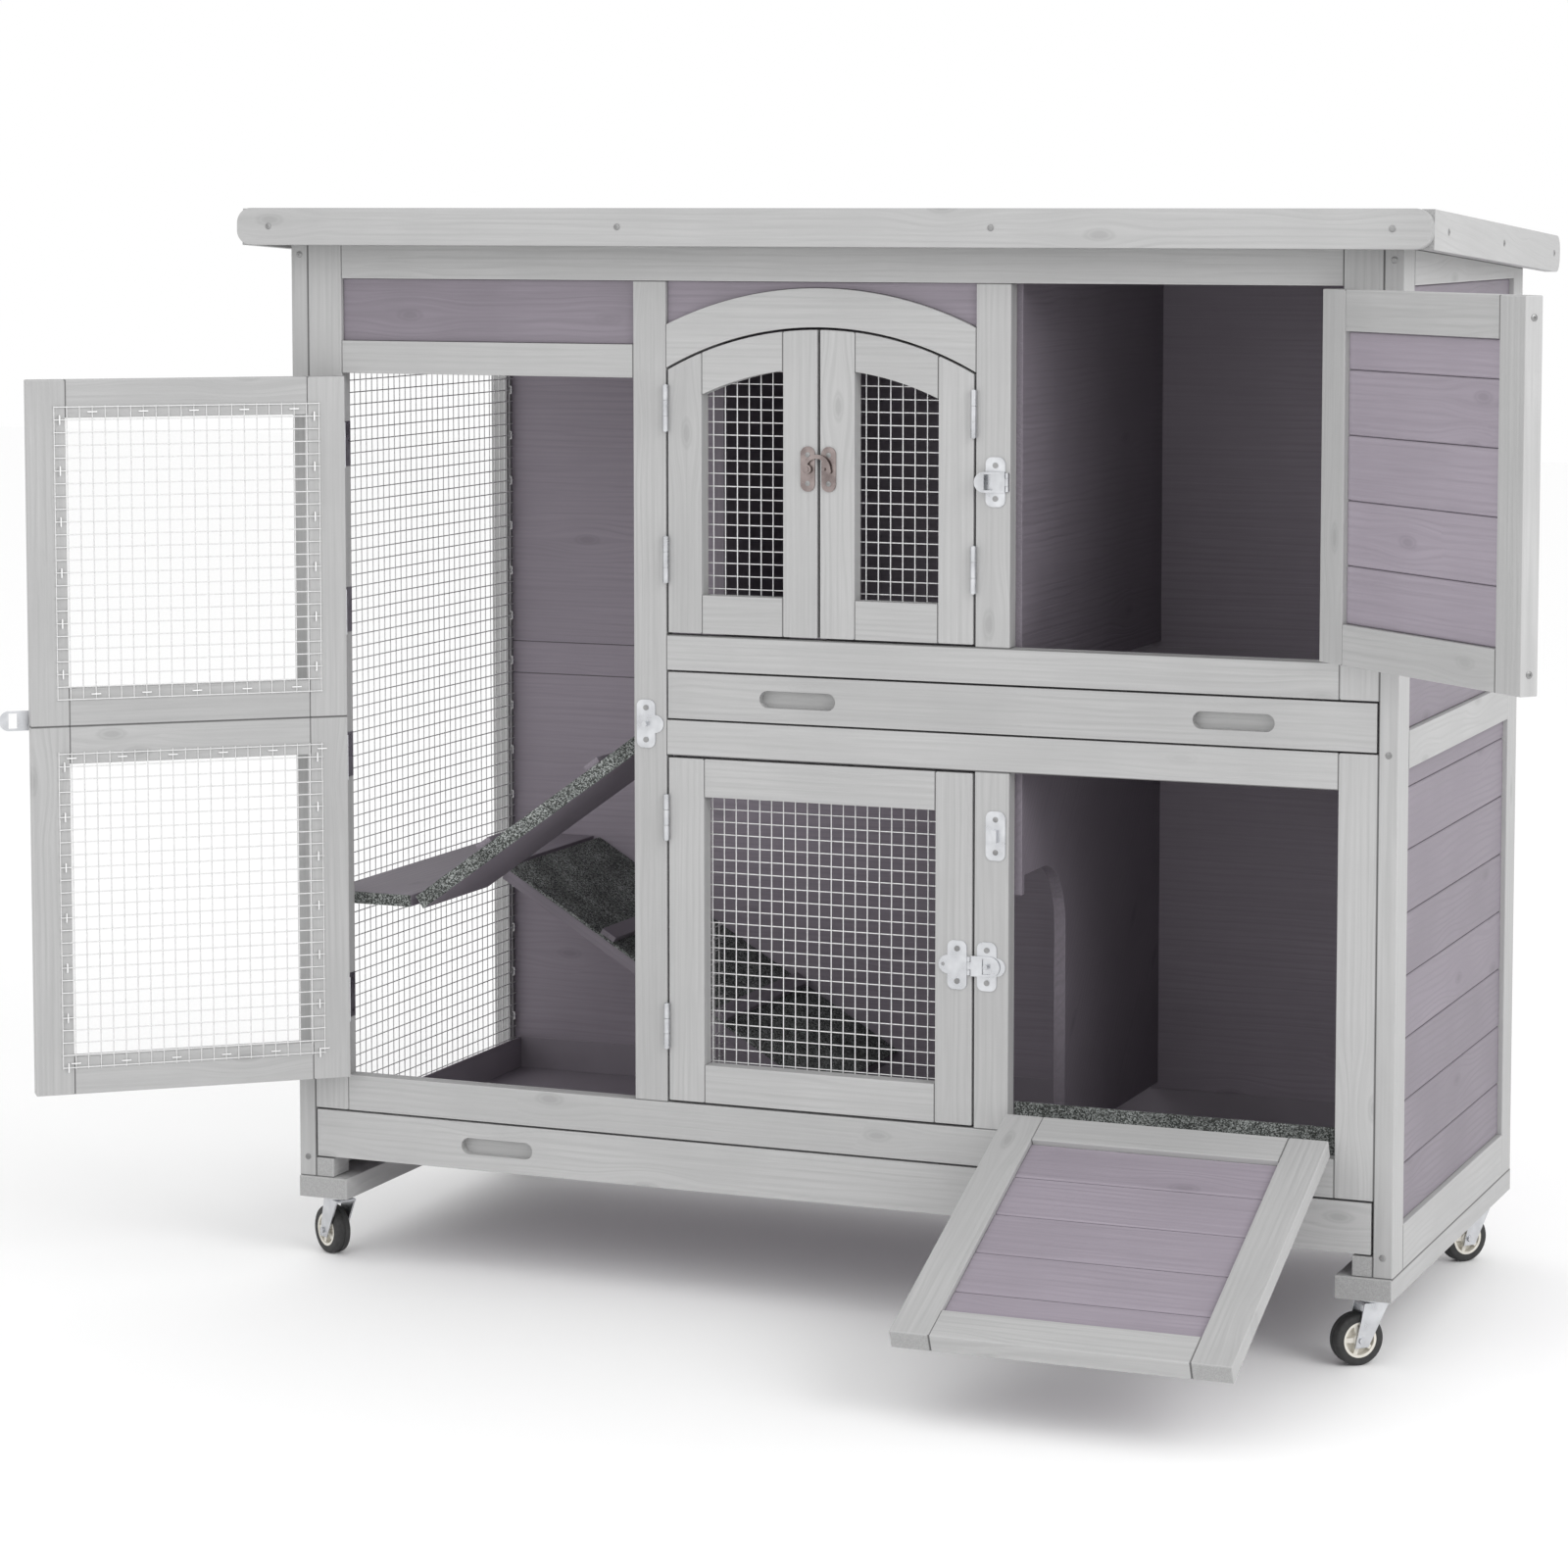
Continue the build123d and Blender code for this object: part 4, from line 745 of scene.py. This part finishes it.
def thin_disc(points, triangles):
    """The centre, axis, radius and height of a screw head in the frame model, or None for another piece."""
    middle = sum(points, Vector()) / len(points)
    reach = max((p - middle).length for p in points)
    if reach > head_limit / 2:
        return None
    axis = grain_axes(points, triangles)[2]
    spans = [p.dot(axis) for p in points]
    thickness = max(spans) - min(spans)
    if thickness > head_thickest:
        return None
    return middle, axis, math.sqrt(reach ** 2 - (thickness / 2) ** 2), thickness


def head_places(found, behind):
    """Places for screw heads: base point, rotation and size, each head facing away from what is behind it."""
    places = []
    for (middle, axis, radius, height), back in zip(found, behind):
        outward = axis if axis.dot(middle - back) > 0 else -axis
        turn = outward.to_track_quat("Z", "Y").to_matrix() @ Matrix.Rotation(draw.uniform(0, math.pi), 3, "Z")
        places.append((middle - outward * height / 2, turn, (radius, radius, height)))
    return places


house_middle = (post_low + post_high) / 2
head_mesh = screw_head_mesh()
found = [thin_disc(*piece) for piece in solids_of("frame_screws")]
places = head_places(found, [house_middle] * len(found))
frame_heads = set_fixings("frame_screw_heads", head_mesh, places, screw_steel)
finished("frame_screw_heads", frame_heads, "frame_screws")

# ============================================================ staples of the mesh
# Narrow galvanised staples pin each panel of mesh to its frame, across both ends of every fourth wire.
# They sit on the inner side of the mesh; of the fixed mesh, only the panel in the left wall has them.
staple_crown = 0.0085
staple_gauge = 0.0011
staple_every = 4
staple_inset = 0.006
staple_side_reach = 0.05


def staple_mesh():
    """A crown along X with two short legs, resting on the wire under it."""
    shape = bmesh.new()
    leg = wire_radius * 4
    for centre, size in (((0, 0, 0), (staple_crown, staple_gauge, staple_gauge)),
                         ((-staple_crown / 2, 0, -leg / 2), (staple_gauge, staple_gauge, leg)),
                         ((staple_crown / 2, 0, -leg / 2), (staple_gauge, staple_gauge, leg))):
        place = Matrix.Translation(centre) @ Matrix.Diagonal((*size, 1.0))
        bmesh.ops.create_cube(shape, size=1.0, matrix=place)
    mesh = bpy.data.meshes.new("staple")
    shape.to_mesh(mesh)
    shape.free()
    return mesh


staple = staple_mesh()
staple_steel = plated_steel("staple_steel", grey(0.86), grey(0.93), 0.5)
for node, ends in mesh_ends.items():
    wires = [(a, b) for a, b in zip(ends[::2], ends[1::2])
             if node != "side_mesh" or a.x < post_low.x + staple_side_reach]
    upright = [w for w in wires if abs(w[1].z - w[0].z) > abs((w[1] - w[0]).xy.length)]
    level = [w for w in wires if w not in upright]
    side = (level[0][1] - level[0][0]).normalized()
    inward = side.cross(Vector((0, 0, 1)))
    if (level[0][0] - upright[0][0]).dot(inward) < 0:
        inward.negate()
    places = []
    for group, crown_along in ((upright, side), (level, Vector((0, 0, 1)))):
        for a, b in group[::staple_every]:
            along = (b - a).normalized()
            for place in (a + along * staple_inset, b - along * staple_inset):
                turn = Matrix((crown_along, inward.cross(crown_along), inward)).transposed()
                places.append((place + inward * (wire_radius + staple_gauge / 2), turn, (1.0, 1.0, 1.0)))
    pins = set_fixings(node + "_staples", staple, places, staple_steel)
    finished(node + "_staples", pins, node, "zinc")

# ============================================================ hinges, hasps and the swing clasp
# Pressed and plated steel: butt hinges with fixed pins, hasps whose flap drops over a staple, and a
# bronzed swing clasp on the arched doors. Their screws are the same cross-heads, smaller.
plate_arris = 0.0003
hasped = ("left", "lower", "right", "ramp")
zinc_nodes = ["post_hinges", "post_catches"]
zinc_nodes += [place + "_door_hardware" for place in hasped] + [place + "_hasp_flap" for place in hasped]
bronzed_nodes = ["arch_door_left_hardware", "arch_door_right_hardware", "clasp_arm"]
clasp_middle = sum(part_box("clasp_arm"), Vector()) / 2
clasp_reach = 0.06
for node in zinc_nodes + bronzed_nodes:
    plating = bronzed_nickel if node in bronzed_nodes else bright_zinc
    discs = [(piece, thin_disc(*piece)) for piece in solids_of(node)]
    plates = [piece for piece, disc in discs if disc is None]
    heads_here = [disc for _, disc in discs if disc is not None]
    name = node + "_plated"
    if plating is bronzed_nickel:
        leaves = [plate for plate in plates if (plate[0][0] - clasp_middle).length > clasp_reach]
        plates = [plate for plate in plates if plate not in leaves]
        if leaves:
            leaf_name = node + "_hinge_leaves"
            leaf_mesh = worked_mesh(leaf_name, node, leaves, plate_arris, bright_zinc)
            finished(leaf_name, leaf_mesh, node, "zinc")
    finished(name, worked_mesh(name, node, plates, plate_arris, plating), node)
    if heads_here:
        behind = []
        for middle, _, _, _ in heads_here:
            nearest = min(plates, key=lambda plate: min((q - middle).length for q in plate[0]))
            behind.append(sum(nearest[0], Vector()) / len(nearest[0]))
        heads = set_fixings(node + "_screws", head_mesh, head_places(heads_here, behind), screw_steel)
        finished(node + "_screws", heads, node, "zinc")

# ============================================================ casters
# Swivel casters: a zinc-plated plate and fork, a moulded cream wheel centre with five spokes, and a
# rubber tyre pressed on it. Each wheel is built about the axle that its joint gives.
worked("caster_plates", bright_zinc, sheet_arris)
wheel_radius = 0.025
wheel_half = 0.0085
hub_rim = 0.0172
hub_web = 0.0028
boss_radius = 0.0066
boss_half = 0.0088
axle_radius = 0.0031
rim_wall = 0.0026
rim_setback = 0.0004
web_lap = 0.0004
web_reach = 0.0024
boss_round = 0.0008
shoulder = 0.0034
shoulder_steps = 4
groove = 0.0009
spoke_count = 5
round_steps = 64

rubber, rubber_tree, rubber_shader, rubber_dust = clouded(
    "caster_rubber", grey(0.018), grey(0.05), 240.0, 5.0, roughness=0.62, specular=0.4)
raise_surface(rubber_tree, rubber_shader, rubber_dust, 0.2, 0.0003)
cream, _, _, _ = clouded(
    "cream_moulding", (0.66, 0.63, 0.56, 1.0), (0.80, 0.78, 0.72, 1.0), 120.0, 3.0, roughness=0.38)


def lathed(profile, steps):
    """Points and faces of a closed outline of (radius, along) turned about Z."""
    points, faces = [], []
    count = len(profile)
    for i in range(steps):
        angle = 2 * math.pi * i / steps
        for radius, along in profile:
            points.append(Vector((radius * math.cos(angle), radius * math.sin(angle), along)))
    for i in range(steps):
        j = (i + 1) % steps
        for k in range(count):
            m = (k + 1) % count
            faces.append([i * count + k, j * count + k, j * count + m, i * count + m])
    return points, faces


def tyre_outline():
    """Half-round shoulders and a shallow groove round the tread."""
    quarter = [step * math.pi / 2 / shoulder_steps for step in range(shoulder_steps + 1)]
    outline = [(hub_rim, -wheel_half)]
    for angle in quarter:
        outline.append((wheel_radius - shoulder + shoulder * math.sin(angle),
                        -wheel_half + shoulder - shoulder * math.cos(angle)))
    outline.extend([(wheel_radius, -groove * 1.6), (wheel_radius - groove, -groove),
                    (wheel_radius - groove, groove), (wheel_radius, groove * 1.6)])
    for angle in quarter:
        outline.append((wheel_radius - shoulder + shoulder * math.cos(angle),
                        wheel_half - shoulder + shoulder * math.sin(angle)))
    outline.append((hub_rim, wheel_half))
    return outline


def join_shapes(shapes):
    """One list of points and faces from several."""
    points, faces = [], []
    for more_points, more_faces in shapes:
        base = len(points)
        points.extend(more_points)
        faces.extend([[base + i for i in face] for face in more_faces])
    return points, faces


def spoke(turn):
    """One tapering spoke on both faces of the wheel's web, as a closed block."""
    inner, outer = boss_radius - 0.0006, hub_rim - 0.0022
    wide, narrow = 0.0026, 0.0019
    height = wheel_half - 0.0016
    corners = [Vector((x, y, z)) for z in (-height, height)
               for x, y in ((inner, -wide), (outer, -narrow), (outer, narrow), (inner, wide))]
    faces = [[0, 3, 2, 1], [4, 5, 6, 7], [0, 1, 5, 4], [1, 2, 6, 5], [2, 3, 7, 6], [3, 0, 4, 7]]
    rotate = Matrix.Rotation(turn, 3, "Z")
    return [rotate @ c for c in corners], faces


def wheel_mesh(name, shape, place, surface):
    """A turned mesh put on its axle, with its faces outward and shaded smooth."""
    points, faces = shape
    mesh = bpy.data.meshes.new(name)
    mesh.from_pydata([place @ p for p in points], [], faces)
    work = bmesh.new()
    work.from_mesh(mesh)
    bmesh.ops.recalc_face_normals(work, faces=work.faces)
    for face in work.faces:
        face.smooth = True
    work.to_mesh(mesh)
    work.free()
    mesh.set_sharp_from_angle(angle=math.radians(32))
    mesh.materials.append(surface)
    return mesh


tyre_shape = lathed(tyre_outline(), round_steps)
rim_inner, rim_edge = hub_rim - rim_wall, wheel_half - rim_setback
web_inner, web_outer, web_edge = boss_radius - web_lap, hub_rim - web_reach, hub_web / 2
rim_outline = [(rim_inner, -rim_edge), (hub_rim, -rim_edge), (hub_rim, rim_edge), (rim_inner, rim_edge)]
web_outline = [(web_inner, -web_edge), (web_outer, -web_edge), (web_outer, web_edge), (web_inner, web_edge)]
boss_outline = [(axle_radius, -boss_half), (boss_radius - boss_round, -boss_half),
                (boss_radius, -boss_half + boss_round), (boss_radius, boss_half - boss_round),
                (boss_radius - boss_round, boss_half), (axle_radius, boss_half)]
hub_shapes = [lathed(outline, round_steps) for outline in (rim_outline, web_outline, boss_outline)]
hub_shapes.extend(spoke(2 * math.pi * i / spoke_count) for i in range(spoke_count))
hub_shape = join_shapes(hub_shapes)
for place_name in ("front_left", "front_right", "rear_left", "rear_right"):
    worked("caster_fork_" + place_name, bright_zinc, sheet_arris)
    roll = joints["caster_roll_" + place_name]
    axis = Vector(roll["axis"]).normalized()
    place = Matrix.Translation(Vector(roll["pos_m"])) @ axis.to_track_quat("Z", "Y").to_matrix().to_4x4()
    wheel_node = "caster_wheel_" + place_name
    finished("tyre_" + place_name, wheel_mesh("tyre_" + place_name, tyre_shape, place, rubber), wheel_node)
    hub_mesh = wheel_mesh("hub_" + place_name, hub_shape, place, cream)
    finished("hub_" + place_name, hub_mesh, wheel_node, "caster_hub")
